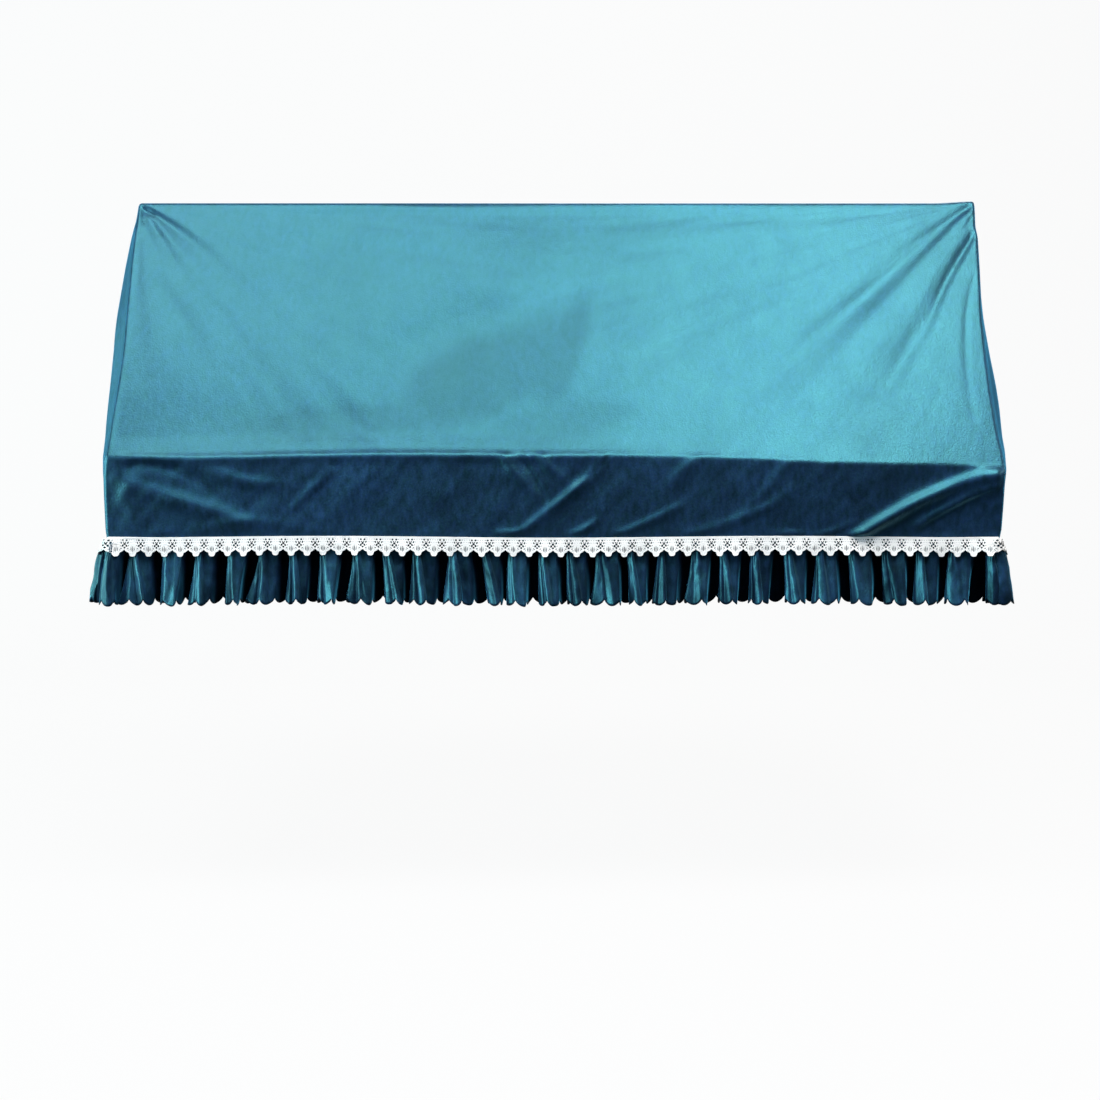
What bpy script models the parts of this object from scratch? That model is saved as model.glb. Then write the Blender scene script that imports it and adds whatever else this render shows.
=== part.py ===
"""Half cover for an upright piano: a velvet hood with a lace band and a gathered, scalloped ruffle.

Metres, +Z up. X runs along the keyboard and the keyboard side faces -Y. The origin is the middle of the
underside of the top, where the hood bears on the piano's lid; the hood hangs down from there.
"""

import math
import random

import bmesh
import bpy

# Driving sizes
WIDTH = 1.52  # across the two side panels at their seams
TOP_DEPTH = 0.34  # flat top, front to back
SLOPE_RUN = 0.28  # how far the key edge stands in front of the top
SLOPE_DROP = 0.453  # how far the key edge lies below the top
FRONT_DROP = 0.136  # plain cloth below the key edge
CLOTH = 0.002  # velvet with its pile
CLEAR = 0.0003  # between two pieces that are sewn together

# Sizes that follow
SEAM_X = WIDTH / 2
Y_BACK = TOP_DEPTH / 2
Y_LID_FRONT = -TOP_DEPTH / 2
Y_FRONT = Y_LID_FRONT - SLOPE_RUN
Z_TOP = CLOTH
Z_KEY_EDGE = -SLOPE_DROP
Z_HEM = Z_KEY_EDGE - FRONT_DROP
Z_HEM_TURN = Z_HEM + 0.012  # top of the flat, turned hem

# Body panel
BODY_COLUMNS = 36
SEAM_STRIP = 0.010  # along each seam the cloth lies flat
ROW_SPACING = 0.047
ARC_STEPS = 2
SLOPE_SAG = 0.006  # the unsupported slope hangs in by this much
SEAM_FADE = 0.035  # folds die out over this distance from a seam

# Outer line of the body panel from the front hem over the top to the back hem: y, z, corner radius
SECTION = [
    {"y": Y_FRONT, "z": Z_HEM, "radius": 0.0},
    {"y": Y_FRONT, "z": Z_HEM_TURN, "radius": 0.0},
    {"y": Y_FRONT, "z": Z_KEY_EDGE, "radius": 0.014},
    {"y": Y_LID_FRONT, "z": Z_TOP, "radius": 0.012},
    {"y": Y_BACK, "z": Z_TOP, "radius": 0.012},
    {"y": Y_BACK, "z": Z_HEM, "radius": 0.0},
]

# Pulls in the cloth, as straight lines over the slope or the front drop. They start at x0, z0 with their
# full height, end at x1, z1 with end_share of it, and stand proud where the height is above zero.
PULLS = [
    {"on": "slope", "x0": 0.74, "z0": -0.02, "x1": 0.46, "z1": -0.26, "width": 0.034, "height": -0.007, "end_share": 0.4},
    {"on": "slope", "x0": 0.74, "z0": -0.07, "x1": 0.62, "z1": -0.26, "width": 0.026, "height": -0.009, "end_share": 0.5},
    {"on": "slope", "x0": 0.70, "z0": -0.05, "x1": 0.52, "z1": -0.30, "width": 0.030, "height": 0.006, "end_share": 0.5},
    {"on": "slope", "x0": 0.72, "z0": -0.20, "x1": 0.71, "z1": -0.38, "width": 0.024, "height": -0.006, "end_share": 0.6},
    {"on": "slope", "x0": -0.73, "z0": -0.02, "x1": -0.53, "z1": -0.21, "width": 0.030, "height": -0.007, "end_share": 0.3},
    {"on": "slope", "x0": -0.72, "z0": -0.06, "x1": -0.62, "z1": -0.25, "width": 0.026, "height": -0.006, "end_share": 0.3},
    {"on": "slope", "x0": -0.28, "z0": -0.32, "x1": 0.02, "z1": -0.18, "width": 0.060, "height": -0.006, "end_share": 0.6},
    {"on": "slope", "x0": -0.40, "z0": -0.34, "x1": -0.28, "z1": -0.43, "width": 0.030, "height": -0.004, "end_share": 0.6},
    {"on": "drop", "x0": 0.73, "z0": -0.463, "x1": 0.50, "z1": -0.580, "width": 0.026, "height": 0.010, "end_share": 0.5},
    {"on": "drop", "x0": 0.10, "z0": -0.450, "x1": -0.05, "z1": -0.570, "width": 0.028, "height": 0.007, "end_share": 0.4},
    {"on": "drop", "x0": -0.72, "z0": -0.490, "x1": -0.54, "z1": -0.540, "width": 0.032, "height": 0.007, "end_share": 0.5},
    {"on": "drop", "x0": -0.36, "z0": -0.470, "x1": -0.44, "z1": -0.540, "width": 0.026, "height": 0.005, "end_share": 0.5},
]

# The key edge isn't quite level: the cloth is pulled up at the left and hangs fuller at the right
KEY_EDGE_SHIFTS = [
    {"x": -0.76, "shift": 0.009},
    {"x": -0.60, "shift": 0.004},
    {"x": 0.00, "shift": 0.000},
    {"x": 0.46, "shift": -0.004},
    {"x": 0.70, "shift": -0.011},
    {"x": 0.76, "shift": -0.020},
]

# Hem line: a slow wave along the front
HEM_WAVE = 0.0015
HEM_WAVE_LENGTH = 0.78
HEM_WAVE_START = 0.20

# Side panels bulge where nothing is behind them, most just behind the slope's seam. share runs from the
# hem (0) to the top (1) of the panel's height.
SIDE_COLUMNS = 9
SIDE_CROWDING = 1.5  # power that crowds the columns towards the front seam
BULGE_REACH = 0.055  # from the front seam to the fullest line
BULGE_REAR = 0.15  # share of the bulge that is left at the back
SIDE_BULGES = [
    {"share": 0.00, "left": 0.000, "right": 0.000},
    {"share": 0.03, "left": 0.000, "right": 0.000},
    {"share": 0.10, "left": 0.006, "right": 0.005},
    {"share": 0.24, "left": 0.015, "right": 0.016},
    {"share": 0.40, "left": 0.029, "right": 0.024},
    {"share": 0.60, "left": 0.037, "right": 0.016},
    {"share": 0.80, "left": 0.035, "right": 0.009},
    {"share": 0.93, "left": 0.023, "right": 0.006},
    {"share": 1.00, "left": 0.000, "right": 0.000},
]

# Lace band
LACE_THICKNESS = 0.0012
LACE_OVERLAP = 0.004  # above the hem, over the velvet
LACE_LEAN = math.atan(0.25)  # the band lies on the ruffle, so its lower edge stands out
PETALS = 56  # along the front
PETAL_PITCH = WIDTH / PETALS
# One petal's lower edge: share of the pitch, depth below the band's top edge
PETAL_EDGE = [
    {"share": 0.00, "depth": 0.0215},
    {"share": 0.22, "depth": 0.0248},
    {"share": 0.31, "depth": 0.0278},
    {"share": 0.41, "depth": 0.0330},
    {"share": 0.59, "depth": 0.0330},
    {"share": 0.69, "depth": 0.0278},
    {"share": 0.78, "depth": 0.0248},
]

# Ruffle
RUFFLE_DROP = 0.111
RUFFLE_CORNER = 0.014
PLEAT_STEPS = 10
# Front pleats, uneven as gathered by hand: where each one's valley lies, how full it is, how far it leans
FRONT_PLEATS = [
    {"x": -0.756, "full": 1.0, "lean": 0.0},
    {"x": -0.722, "full": 0.9, "lean": 1.0},
    {"x": -0.668, "full": 1.0, "lean": 0.9},
    {"x": -0.612, "full": 1.0, "lean": 1.1},
    {"x": -0.556, "full": 0.9, "lean": 0.8},
    {"x": -0.502, "full": 0.9, "lean": 1.1},
    {"x": -0.451, "full": 1.0, "lean": 1.0},
    {"x": -0.396, "full": 0.9, "lean": 1.2},
    {"x": -0.346, "full": 1.0, "lean": 0.8},
    {"x": -0.289, "full": 0.8, "lean": 0.9},
    {"x": -0.240, "full": 1.0, "lean": 1.2},
    {"x": -0.176, "full": 1.0, "lean": 1.2},
    {"x": -0.126, "full": 0.9, "lean": 0.8},
    {"x": -0.076, "full": 0.8, "lean": 0.9},
    {"x": -0.023, "full": 1.0, "lean": 1.0},
    {"x": 0.025, "full": 0.9, "lean": 0.7},
    {"x": 0.079, "full": 1.0, "lean": 1.1},
    {"x": 0.126, "full": 0.9, "lean": 0.9},
    {"x": 0.183, "full": 1.0, "lean": 1.0},
    {"x": 0.239, "full": 0.9, "lean": 1.1},
    {"x": 0.284, "full": 0.8, "lean": 0.8},
    {"x": 0.339, "full": 1.0, "lean": 1.0},
    {"x": 0.396, "full": 1.0, "lean": 1.2},
    {"x": 0.451, "full": 0.9, "lean": 0.9},
    {"x": 0.505, "full": 1.0, "lean": 0.8},
    {"x": 0.566, "full": 0.9, "lean": 1.1},
    {"x": 0.622, "full": 1.0, "lean": 0.9},
    {"x": 0.680, "full": 0.9, "lean": 1.0},
    {"x": 0.727, "full": 0.9, "lean": 0.3},
]
SIDE_PLEATS = 11
SIDE_PITCH_SPREAD = 0.006  # the side pleats' valleys lie this far from an even pitch
RUFFLE_ROWS = [1.0, 0.50, 0.06, 0.0]  # shares of the drop; the last stretch is upright, held by the gathers
CREST_START = -0.0008  # the crests at the gathers, from the hood's outer face
CREST_FLARE = 0.22  # and how fast they stand out going down
VALLEY_START = -0.008
VALLEY_FLARE = 0.06
CREST_LEAN = 0.009  # sideways at the hem, so that each pleat hangs over its neighbour
SCALLOPS_PER_PLEAT = 2
SCALLOP_DEPTH = 0.009
RUFFLE_SEED = 11
# One pleat in plan: phase along it, how far out from valley to crest, how much of the lean
PLEAT = [
    {"phase": 0.0, "out": 0.00, "lean": 0.0},
    {"phase": 0.1, "out": 0.60, "lean": 0.7},
    {"phase": 0.2, "out": 1.00, "lean": 1.0},
    {"phase": 0.3, "out": 0.93, "lean": 0.6},
    {"phase": 0.4, "out": 0.74, "lean": 0.3},
    {"phase": 0.5, "out": 0.56, "lean": 0.2},
    {"phase": 0.6, "out": 0.50, "lean": 0.2},
    {"phase": 0.7, "out": 0.46, "lean": 0.1},
    {"phase": 0.8, "out": 0.30, "lean": 0.0},
    {"phase": 0.9, "out": 0.08, "lean": 0.0},
]


def clear_scene():
    for old in list(bpy.data.objects):
        bpy.data.objects.remove(old, do_unlink=True)


def make_material(name, colour, roughness):
    material = bpy.data.materials.new(name)
    material.use_nodes = True
    shader = material.node_tree.nodes["Principled BSDF"]
    shader.inputs["Base Color"].default_value = (*colour, 1.0)
    shader.inputs["Roughness"].default_value = roughness
    shader.inputs["Metallic"].default_value = 0.0
    return material


def smooth(t):
    t = min(1.0, max(0.0, t))
    return t * t * (3 - 2 * t)


def hem_wave(x):
    """Rise of the hem along the front, level again at the corner seams."""
    level = smooth((SEAM_X - RUFFLE_CORNER - abs(x)) / 0.10)
    return HEM_WAVE * level * math.sin(2 * math.pi * (x - HEM_WAVE_START) / HEM_WAVE_LENGTH)


def key_edge_shift(x, z):
    """How far the key edge's unevenness moves a point of the slope or the front drop."""
    if z >= Z_KEY_EDGE:
        share = (Z_TOP - z) / (Z_TOP - Z_KEY_EDGE)
    else:
        share = max(0.0, (z - Z_HEM_TURN) / (Z_KEY_EDGE - Z_HEM_TURN))
    return share * table_value(KEY_EDGE_SHIFTS, "x", "shift", x)


def table_value(rows, key, column, at):
    """Straight-line value of a column at a place between a table's rows."""
    for low, high in zip(rows, rows[1:]):
        if at <= high[key]:
            share = (at - low[key]) / (high[key] - low[key])
            return low[column] + (high[column] - low[column]) * max(0.0, share)
    return rows[-1][column]


def section_points():
    """The outer line as (y, z, normal y, normal z, panel), with arcs at its corners."""
    names = ["hem", "drop", "slope", "top", "back"]
    points = []
    start = (SECTION[0]["y"], SECTION[0]["z"])
    for i, name in enumerate(names):
        here, there = SECTION[i], SECTION[i + 1]
        run_y, run_z = there["y"] - here["y"], there["z"] - here["z"]
        length = math.hypot(run_y, run_z)
        run_y, run_z = run_y / length, run_z / length
        turn, radius = 0.0, there["radius"]
        if i + 2 < len(SECTION):
            after = SECTION[i + 2]
            next_y, next_z = after["y"] - there["y"], after["z"] - there["z"]
            turn = math.atan2(run_z, run_y) - math.atan2(next_z, next_y)
        setback = radius * math.tan(turn / 2)
        end = (there["y"] - run_y * setback, there["z"] - run_z * setback)
        straight = math.hypot(end[0] - start[0], end[1] - start[1])
        steps = max(1, round(straight / ROW_SPACING))
        for k in range(steps + 1):
            if k == 0 and points:
                continue  # the arc before ended here
            share = k / steps
            y = start[0] + (end[0] - start[0]) * share
            z = start[1] + (end[1] - start[1]) * share
            points.append((y, z, -run_z, run_y, name))
        centre_y, centre_z = end[0] + run_z * radius, end[1] - run_y * radius
        heading = math.atan2(run_y, -run_z)
        for k in range(1, ARC_STEPS + 1):
            if radius == 0.0:
                break
            angle = heading - turn * k / ARC_STEPS
            normal_y, normal_z = math.cos(angle), math.sin(angle)
            points.append(
                (centre_y + radius * normal_y, centre_z + radius * normal_z, normal_y, normal_z, "edge")
            )
        start = points[-1][:2]
    return points


def pull_height(panel, x, z):
    """How far the pulls lift the cloth at a place on a panel."""
    stretch = math.hypot(SLOPE_RUN, SLOPE_DROP) / SLOPE_DROP if panel == "slope" else 1.0
    height = 0.0
    for pull in PULLS:
        if pull["on"] != panel:
            continue
        along_x, along_z = pull["x1"] - pull["x0"], (pull["z1"] - pull["z0"]) * stretch
        length = math.hypot(along_x, along_z)
        away_x, away_z = x - pull["x0"], (z - pull["z0"]) * stretch
        share = (away_x * along_x + away_z * along_z) / length**2
        across = (away_x * along_z - away_z * along_x) / length
        ends = smooth((share + 0.15) / 0.15) * smooth((1.25 - share) / 0.25)
        fade = 1 + (pull["end_share"] - 1) * min(1.0, max(0.0, share))
        height += pull["height"] * fade * ends * math.exp(-((across / pull["width"]) ** 2))
    return height


def body_point(x, row):
    """Outer face of the body panel at x on a section point."""
    y, z, normal_y, normal_z, panel = row
    lift = 0.0
    if panel == "slope":
        share = (z - Z_KEY_EDGE) / (Z_TOP - Z_KEY_EDGE)
        lift = -SLOPE_SAG * math.sin(math.pi * share)
    if panel in ("slope", "drop"):
        lift += pull_height(panel, x, z)
    if panel == "drop":
        lift *= smooth((z - Z_HEM_TURN) / 0.02)
    lift *= smooth((SEAM_X - SEAM_STRIP - abs(x)) / SEAM_FADE)
    rise = 0.0
    if y == Y_FRONT and z == Z_HEM:
        rise = hem_wave(x)
    elif y < Y_LID_FRONT + 0.001:
        rise = key_edge_shift(x, z)
    return (x, y + normal_y * lift, z + normal_z * lift + rise)


def sheet_object(name, columns, rows, place, material, collection):
    """A grid of cloth whose corners are placed by place(i, j), given its thickness on the inner side."""
    mesh = bpy.data.meshes.new(name)
    grid = bmesh.new()
    bmesh.ops.create_grid(grid, x_segments=columns, y_segments=rows, size=0.5)
    for vertex in grid.verts:
        i = round((vertex.co.x + 0.5) * columns)
        j = round((vertex.co.y + 0.5) * rows)
        vertex.co = place(i, j)
    grid.to_mesh(mesh)
    grid.free()
    cloth = bpy.data.objects.new(name, mesh)
    collection.objects.link(cloth)
    thickness = cloth.modifiers.new("thickness", "SOLIDIFY")
    thickness.thickness = CLOTH
    thickness.offset = -1.0
    mesh.materials.append(material)
    return cloth


def make_body(material, collection):
    section = section_points()
    half = SEAM_X - CLOTH - CLEAR

    def place(i, j):
        side = 2 * i / BODY_COLUMNS - 1
        x = math.copysign(half, side)
        if 0 < i < BODY_COLUMNS:
            x = (half - SEAM_STRIP) * (2 * (i - 1) / (BODY_COLUMNS - 2) - 1)
        return body_point(x, section[j])

    return sheet_object("body_panel", BODY_COLUMNS, len(section) - 1, place, material, collection)


def back_line(z):
    """y of the back edge of a side panel, which rounds over into the top."""
    radius = SECTION[4]["radius"]
    above = z - (Z_TOP - radius)
    if above <= 0:
        return Y_BACK
    return Y_BACK - radius + math.sqrt(max(0.0, radius**2 - above**2))


def make_side(side, material, collection):
    """A flat-cut side panel, sewn to the body panel's edge all round."""
    sign = -1 if side == "left" else 1
    front = [row for row in section_points() if row[4] not in ("top", "back") and row[0] < 0]

    def place(i, j):
        share = i / SIDE_COLUMNS if side == "right" else 1 - i / SIDE_COLUMNS
        y_front, z = front[j][0], front[j][1]
        z += key_edge_shift(sign * SEAM_X, z)
        y = y_front + (back_line(z) - y_front) * share**SIDE_CROWDING
        height = (z - Z_HEM) / (Z_TOP - Z_HEM)
        fullest = table_value(SIDE_BULGES, "share", side, height)
        rise = smooth((y - y_front) / BULGE_REACH)
        fall = 1 - (1 - BULGE_REAR) * smooth((y - y_front - BULGE_REACH) / 0.30)
        edge = smooth((back_line(z) - y) / 0.03)
        return (sign * (SEAM_X + fullest * rise * fall * edge), y, z)

    return sheet_object(f"side_panel_{side}", SIDE_COLUMNS, len(front) - 1, place, material, collection)


def lace_outline(length, slant_start, slant_end, petals, wave):
    """Corners of a flat band: its straight top edge, then its petals from right to left.

    A slanted end leans outwards by the band's own lean, to meet the next band at a corner.
    """
    spread = math.tan(LACE_LEAN)
    valley = PETAL_EDGE[0]["depth"]
    corners = [(length / 2, wave(length / 2)), (-length / 2, wave(-length / 2))]
    corners.append((-length / 2 - slant_start * spread * valley, -valley + wave(-length / 2)))
    pitch = length / petals
    for petal in range(petals):
        for row in PETAL_EDGE:
            if petal == 0 and row["share"] == 0.0:
                continue
            x = -length / 2 + (petal + row["share"]) * pitch
            corners.append((x, -row["depth"] + wave(x)))
    corners.append((length / 2 + slant_end * spread * valley, -valley + wave(length / 2)))
    return corners


def make_lace(name, corners, place, turn, material, collection):
    """A flat outline with half its thickness each way, stood up against the hem and leaned out."""
    outline = bpy.data.curves.new(name, "CURVE")
    outline.dimensions = "2D"
    outline.fill_mode = "BOTH"
    outline.extrude = LACE_THICKNESS / 2
    spline = outline.splines.new("POLY")
    spline.points.add(len(corners) - 1)
    for point, (x, y) in zip(spline.points, corners):
        point.co = (x, y, 0.0, 1.0)
    spline.use_cyclic_u = True
    outline.materials.append(material)
    band = bpy.data.objects.new(name, outline)
    band.rotation_euler = (math.pi / 2 - LACE_LEAN, 0.0, turn)
    band.location = place
    collection.objects.link(band)
    return band


def make_lace_bands(material, collection):
    stand_off = CLEAR + LACE_THICKNESS / 2
    # The leaned band's inner face stays clear of the velvet along its top edge
    rise = LACE_THICKNESS / 2 * math.sin(LACE_LEAN)
    top = Z_HEM + LACE_OVERLAP
    front_length = WIDTH - 2 * CLEAR
    front = lace_outline(front_length, 1, 1, PETALS, hem_wave)
    make_lace("lace_front", front, (0.0, Y_FRONT - stand_off - rise, top), 0.0, material, collection)
    depth = Y_BACK - Y_FRONT - CLEAR
    petals = round(depth / PETAL_PITCH)
    middle = (Y_BACK + Y_FRONT + CLEAR) / 2
    away = SEAM_X + stand_off + rise
    flat = lambda x: 0.0
    left = lace_outline(depth, 0, 1, petals, flat)
    make_lace("lace_left", left, (-away, middle, top), -math.pi / 2, material, collection)
    right = lace_outline(depth, 1, 0, petals, flat)
    make_lace("lace_right", right, (away, middle, top), math.pi / 2, material, collection)


def hem_path(s):
    """(x, y, outward x, outward y) at a distance s from the back left corner along the hem's outer face."""
    side = Y_BACK - Y_FRONT - RUFFLE_CORNER
    arc = math.pi / 2 * RUFFLE_CORNER
    front = WIDTH - 2 * RUFFLE_CORNER
    if s <= side:
        return (-SEAM_X, Y_BACK - s, -1.0, 0.0)
    s -= side
    if s <= arc:
        angle = math.pi + s / RUFFLE_CORNER
        centre_x, centre_y = -SEAM_X + RUFFLE_CORNER, Y_FRONT + RUFFLE_CORNER
        out_x, out_y = math.cos(angle), math.sin(angle)
        return (centre_x + RUFFLE_CORNER * out_x, centre_y + RUFFLE_CORNER * out_y, out_x, out_y)
    s -= arc
    if s <= front:
        return (-SEAM_X + RUFFLE_CORNER + s, Y_FRONT, 0.0, -1.0)
    s -= front
    if s <= arc:
        angle = 1.5 * math.pi + s / RUFFLE_CORNER
        centre_x, centre_y = SEAM_X - RUFFLE_CORNER, Y_FRONT + RUFFLE_CORNER
        out_x, out_y = math.cos(angle), math.sin(angle)
        return (centre_x + RUFFLE_CORNER * out_x, centre_y + RUFFLE_CORNER * out_y, out_x, out_y)
    s -= arc
    return (SEAM_X, Y_FRONT + RUFFLE_CORNER + s, 1.0, 0.0)


def ruffle_place(pleats, end):
    """place(i, j) for a strip of pleats, each with its start along the hem, up to the strip's end."""
    starts = [pleat["start"] for pleat in pleats] + [end]

    def place(i, j):
        pleat, step = divmod(i, PLEAT_STEPS)
        row = PLEAT[step]
        start = starts[pleat]
        pitch, fullness, lean = 0.0, 1.0, 0.0
        if pleat < len(pleats):
            pitch = starts[pleat + 1] - start
            fullness, lean = pleats[pleat]["full"], pleats[pleat]["lean"]
        share = RUFFLE_ROWS[j]
        free = max(0.0, share - RUFFLE_ROWS[-2])
        crest = CREST_START + CREST_FLARE * free * RUFFLE_DROP * fullness
        valley = VALLEY_START + VALLEY_FLARE * free * RUFFLE_DROP
        out = valley + (crest - valley) * row["out"]
        along = start + row["phase"] * pitch - row["lean"] * CREST_LEAN * lean * free
        x, y, out_x, out_y = hem_path(along)
        lift = 0.0
        if share == 1.0:
            lift = SCALLOP_DEPTH * (1 - abs(math.sin(math.pi * SCALLOPS_PER_PLEAT * row["phase"])))
        wave = hem_wave(x) if out_y < -0.99 else 0.0
        return (x + out_x * out, y + out_y * out, Z_HEM - CLEAR - share * RUFFLE_DROP + lift + wave)

    return place


def side_pleats(start, end, chance):
    """Evenly gathered pleats of a side strip, each a little off its pitch. The first one stands upright."""
    pitch = (end - start) / SIDE_PLEATS
    pleats = [{"start": start, "full": 1.0, "lean": 0.0}]
    for k in range(1, SIDE_PLEATS):
        away = chance.uniform(-SIDE_PITCH_SPREAD, SIDE_PITCH_SPREAD)
        full, lean = chance.uniform(0.82, 1.0), chance.uniform(0.6, 1.1)
        pleats.append({"start": start + k * pitch + away, "full": full, "lean": lean})
    return pleats


def make_ruffle(material, collection):
    """The gathered strip in three lengths, joined in the two corner seams."""
    side = Y_BACK - Y_FRONT - RUFFLE_CORNER
    arc = math.pi / 2 * RUFFLE_CORNER
    front = WIDTH - 2 * RUFFLE_CORNER
    corner_left = side + arc / 2
    corner_right = side + arc + front + arc / 2
    whole = 2 * side + 2 * arc + front
    joint = 2 * CLEAR  # wider than CLEAR, since the corner seams meet at valleys
    middle = whole / 2
    front_pleats = [dict(pleat, start=middle + pleat["x"]) for pleat in FRONT_PLEATS]
    front_pleats[0]["start"] = corner_left + joint
    chance = random.Random(RUFFLE_SEED)
    lengths = [
        ("ruffle_left", side_pleats(0.0, corner_left - joint, chance), corner_left - joint),
        ("ruffle_front", front_pleats, corner_right - joint),
        ("ruffle_right", side_pleats(corner_right + joint, whole, chance), whole),
    ]
    for name, pleats, end in lengths:
        place = ruffle_place(pleats, end)
        columns = len(pleats) * PLEAT_STEPS
        sheet_object(name, columns, len(RUFFLE_ROWS) - 1, place, material, collection)


def main():
    clear_scene()
    collection = bpy.data.collections.new("piano_cover")
    bpy.context.scene.collection.children.link(collection)
    velvet = make_material("teal_velvet", (0.030, 0.150, 0.230), 0.55)
    lace = make_material("white_cotton_lace", (0.82, 0.83, 0.84), 0.85)
    make_body(velvet, collection)
    make_side("left", velvet, collection)
    make_side("right", velvet, collection)
    make_lace_bands(lace, collection)
    make_ruffle(velvet, collection)


main()
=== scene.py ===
"""Dresses the piano cover: a teal velvet hood with a white lace band and a gathered, scalloped ruffle.

Metres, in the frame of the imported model: X along the keyboard, the keyboard side at -Y, Z up, and the origin
in the middle of the underside of the top.
"""

import math
import random

import bmesh
import bpy
import numpy as np
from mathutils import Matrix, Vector, noise


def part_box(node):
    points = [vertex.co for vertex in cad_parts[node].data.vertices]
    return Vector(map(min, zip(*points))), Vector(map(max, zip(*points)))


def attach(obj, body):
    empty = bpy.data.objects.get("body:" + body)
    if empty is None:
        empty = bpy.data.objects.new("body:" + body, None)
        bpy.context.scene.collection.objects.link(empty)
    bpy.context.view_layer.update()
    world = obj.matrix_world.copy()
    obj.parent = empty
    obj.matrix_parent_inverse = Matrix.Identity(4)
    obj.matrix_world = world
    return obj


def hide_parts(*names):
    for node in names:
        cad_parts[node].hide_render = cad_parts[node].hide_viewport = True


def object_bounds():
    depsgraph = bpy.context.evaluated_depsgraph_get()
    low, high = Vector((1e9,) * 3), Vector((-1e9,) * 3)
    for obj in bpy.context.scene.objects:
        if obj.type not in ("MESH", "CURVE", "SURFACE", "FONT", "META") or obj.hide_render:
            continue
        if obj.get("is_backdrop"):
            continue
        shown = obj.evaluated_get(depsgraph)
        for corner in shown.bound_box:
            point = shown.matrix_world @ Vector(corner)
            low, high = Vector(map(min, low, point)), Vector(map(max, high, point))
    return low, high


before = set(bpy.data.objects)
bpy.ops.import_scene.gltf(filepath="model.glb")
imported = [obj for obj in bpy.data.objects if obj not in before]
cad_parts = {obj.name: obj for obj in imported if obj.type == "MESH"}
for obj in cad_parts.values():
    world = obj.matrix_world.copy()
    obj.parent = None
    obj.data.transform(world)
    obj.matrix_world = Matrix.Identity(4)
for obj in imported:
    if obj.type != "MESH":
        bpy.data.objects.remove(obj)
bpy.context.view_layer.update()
body_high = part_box("body_panel")[1]
side_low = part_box("side_panel_left")[0]

# Photographic set. The camera looks at the front of the hood from about the middle of its height, turned a
# little down, and a pale floor runs up into a backdrop. One large soft light hangs over the front, so that
# the slope is bright and the front drop lies in shade; weak fills keep the other sides readable.
CAMERA_PLACE = (-0.005, -3.208, -0.310)
CAMERA_DOWN = 6.155  # degrees
CAMERA_LENS = 53.35
CAMERA_SENSOR = 36.0
FLOOR_Z = -1.232
FLOOR_FRONT = -6.0
BACKDROP_Y = 3.4
BACKDROP_CURVE = 1.6
BACKDROP_HIGH = 6.0
BACKDROP_HALF = 8.0
CURVE_STEPS = 16
PAPER_GLOW = 0.93
LAMPS_AIM = Vector((0.0, -0.25, -0.3))
ROOM_LIGHT = 0.07


def linear(code):
    """An sRGB hex colour as linear RGB with alpha."""
    channels = [int(code[i : i + 2], 16) / 255 for i in (1, 3, 5)]
    return (*[c / 12.92 if c <= 0.04045 else ((c + 0.055) / 1.055) ** 2.4 for c in channels], 1.0)


def fill(tree, made, inputs):
    """Pairs a node's sockets, by name or number, with values or with other nodes' outputs."""
    for socket, value in inputs:
        if isinstance(value, bpy.types.NodeSocket):
            tree.links.new(value, made.inputs[socket])
        else:
            made.inputs[socket].default_value = value


def node(tree, kind, inputs=(), **settings):
    made = tree.nodes.new(kind)
    for name, value in settings.items():
        setattr(made, name, value)
    fill(tree, made, inputs)
    return made


def surface(name):
    """A new material's tree, with a Principled shader wired to its output."""
    material = bpy.data.materials.new(name)
    material.use_nodes = True
    material.node_tree.nodes.clear()
    shader = node(material.node_tree, "ShaderNodeBsdfPrincipled")
    node(material.node_tree, "ShaderNodeOutputMaterial", [("Surface", shader.outputs["BSDF"])])
    return material, material.node_tree, shader


def add(name, data):
    """A new object in the scene."""
    made = bpy.data.objects.new(name, data)
    bpy.context.collection.objects.link(made)
    return made


camera = add("camera", bpy.data.cameras.new("camera"))
camera.data.lens = CAMERA_LENS
camera.data.sensor_width = CAMERA_SENSOR
camera.location = CAMERA_PLACE
camera.rotation_euler = (math.radians(90 - CAMERA_DOWN), 0.0, 0.0)
bpy.context.scene.camera = camera
bpy.context.scene.view_settings.view_transform = "Standard"

backdrop_mesh = bpy.data.meshes.new("floor_and_backdrop")
paper = bmesh.new()
profile = [(FLOOR_FRONT, 0.0), (BACKDROP_Y - BACKDROP_CURVE, 0.0)]
for step in range(1, CURVE_STEPS + 1):
    angle = math.pi / 2 * step / CURVE_STEPS
    forward, up = 1 - math.sin(angle), 1 - math.cos(angle)
    profile.append((BACKDROP_Y - BACKDROP_CURVE * forward, BACKDROP_CURVE * up))
profile.append((BACKDROP_Y, BACKDROP_HIGH))
edges = []
for y, z in profile:
    ends = [paper.verts.new((x, y, FLOOR_Z + z)) for x in (-BACKDROP_HALF, BACKDROP_HALF)]
    edges.append(paper.edges.new(ends))
for low, high in zip(edges, edges[1:]):
    paper.faces.new((low.verts[0], low.verts[1], high.verts[1], high.verts[0])).smooth = True
paper.to_mesh(backdrop_mesh)
paper.free()
backdrop = add("floor_and_backdrop", backdrop_mesh)
paper_material, paper_tree, paper_shader = surface("matte_white_paper")
paper_grey = [("Base Color", linear("#343434")), ("Roughness", 1.0), ("Specular IOR Level", 0.0)]
paper_glow = [("Emission Color", linear("#ffffff")), ("Emission Strength", PAPER_GLOW)]
fill(paper_tree, paper_shader, paper_grey + paper_glow)
backdrop_mesh.materials.append(paper_material)
backdrop.visible_diffuse = False
backdrop.visible_glossy = False
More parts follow.
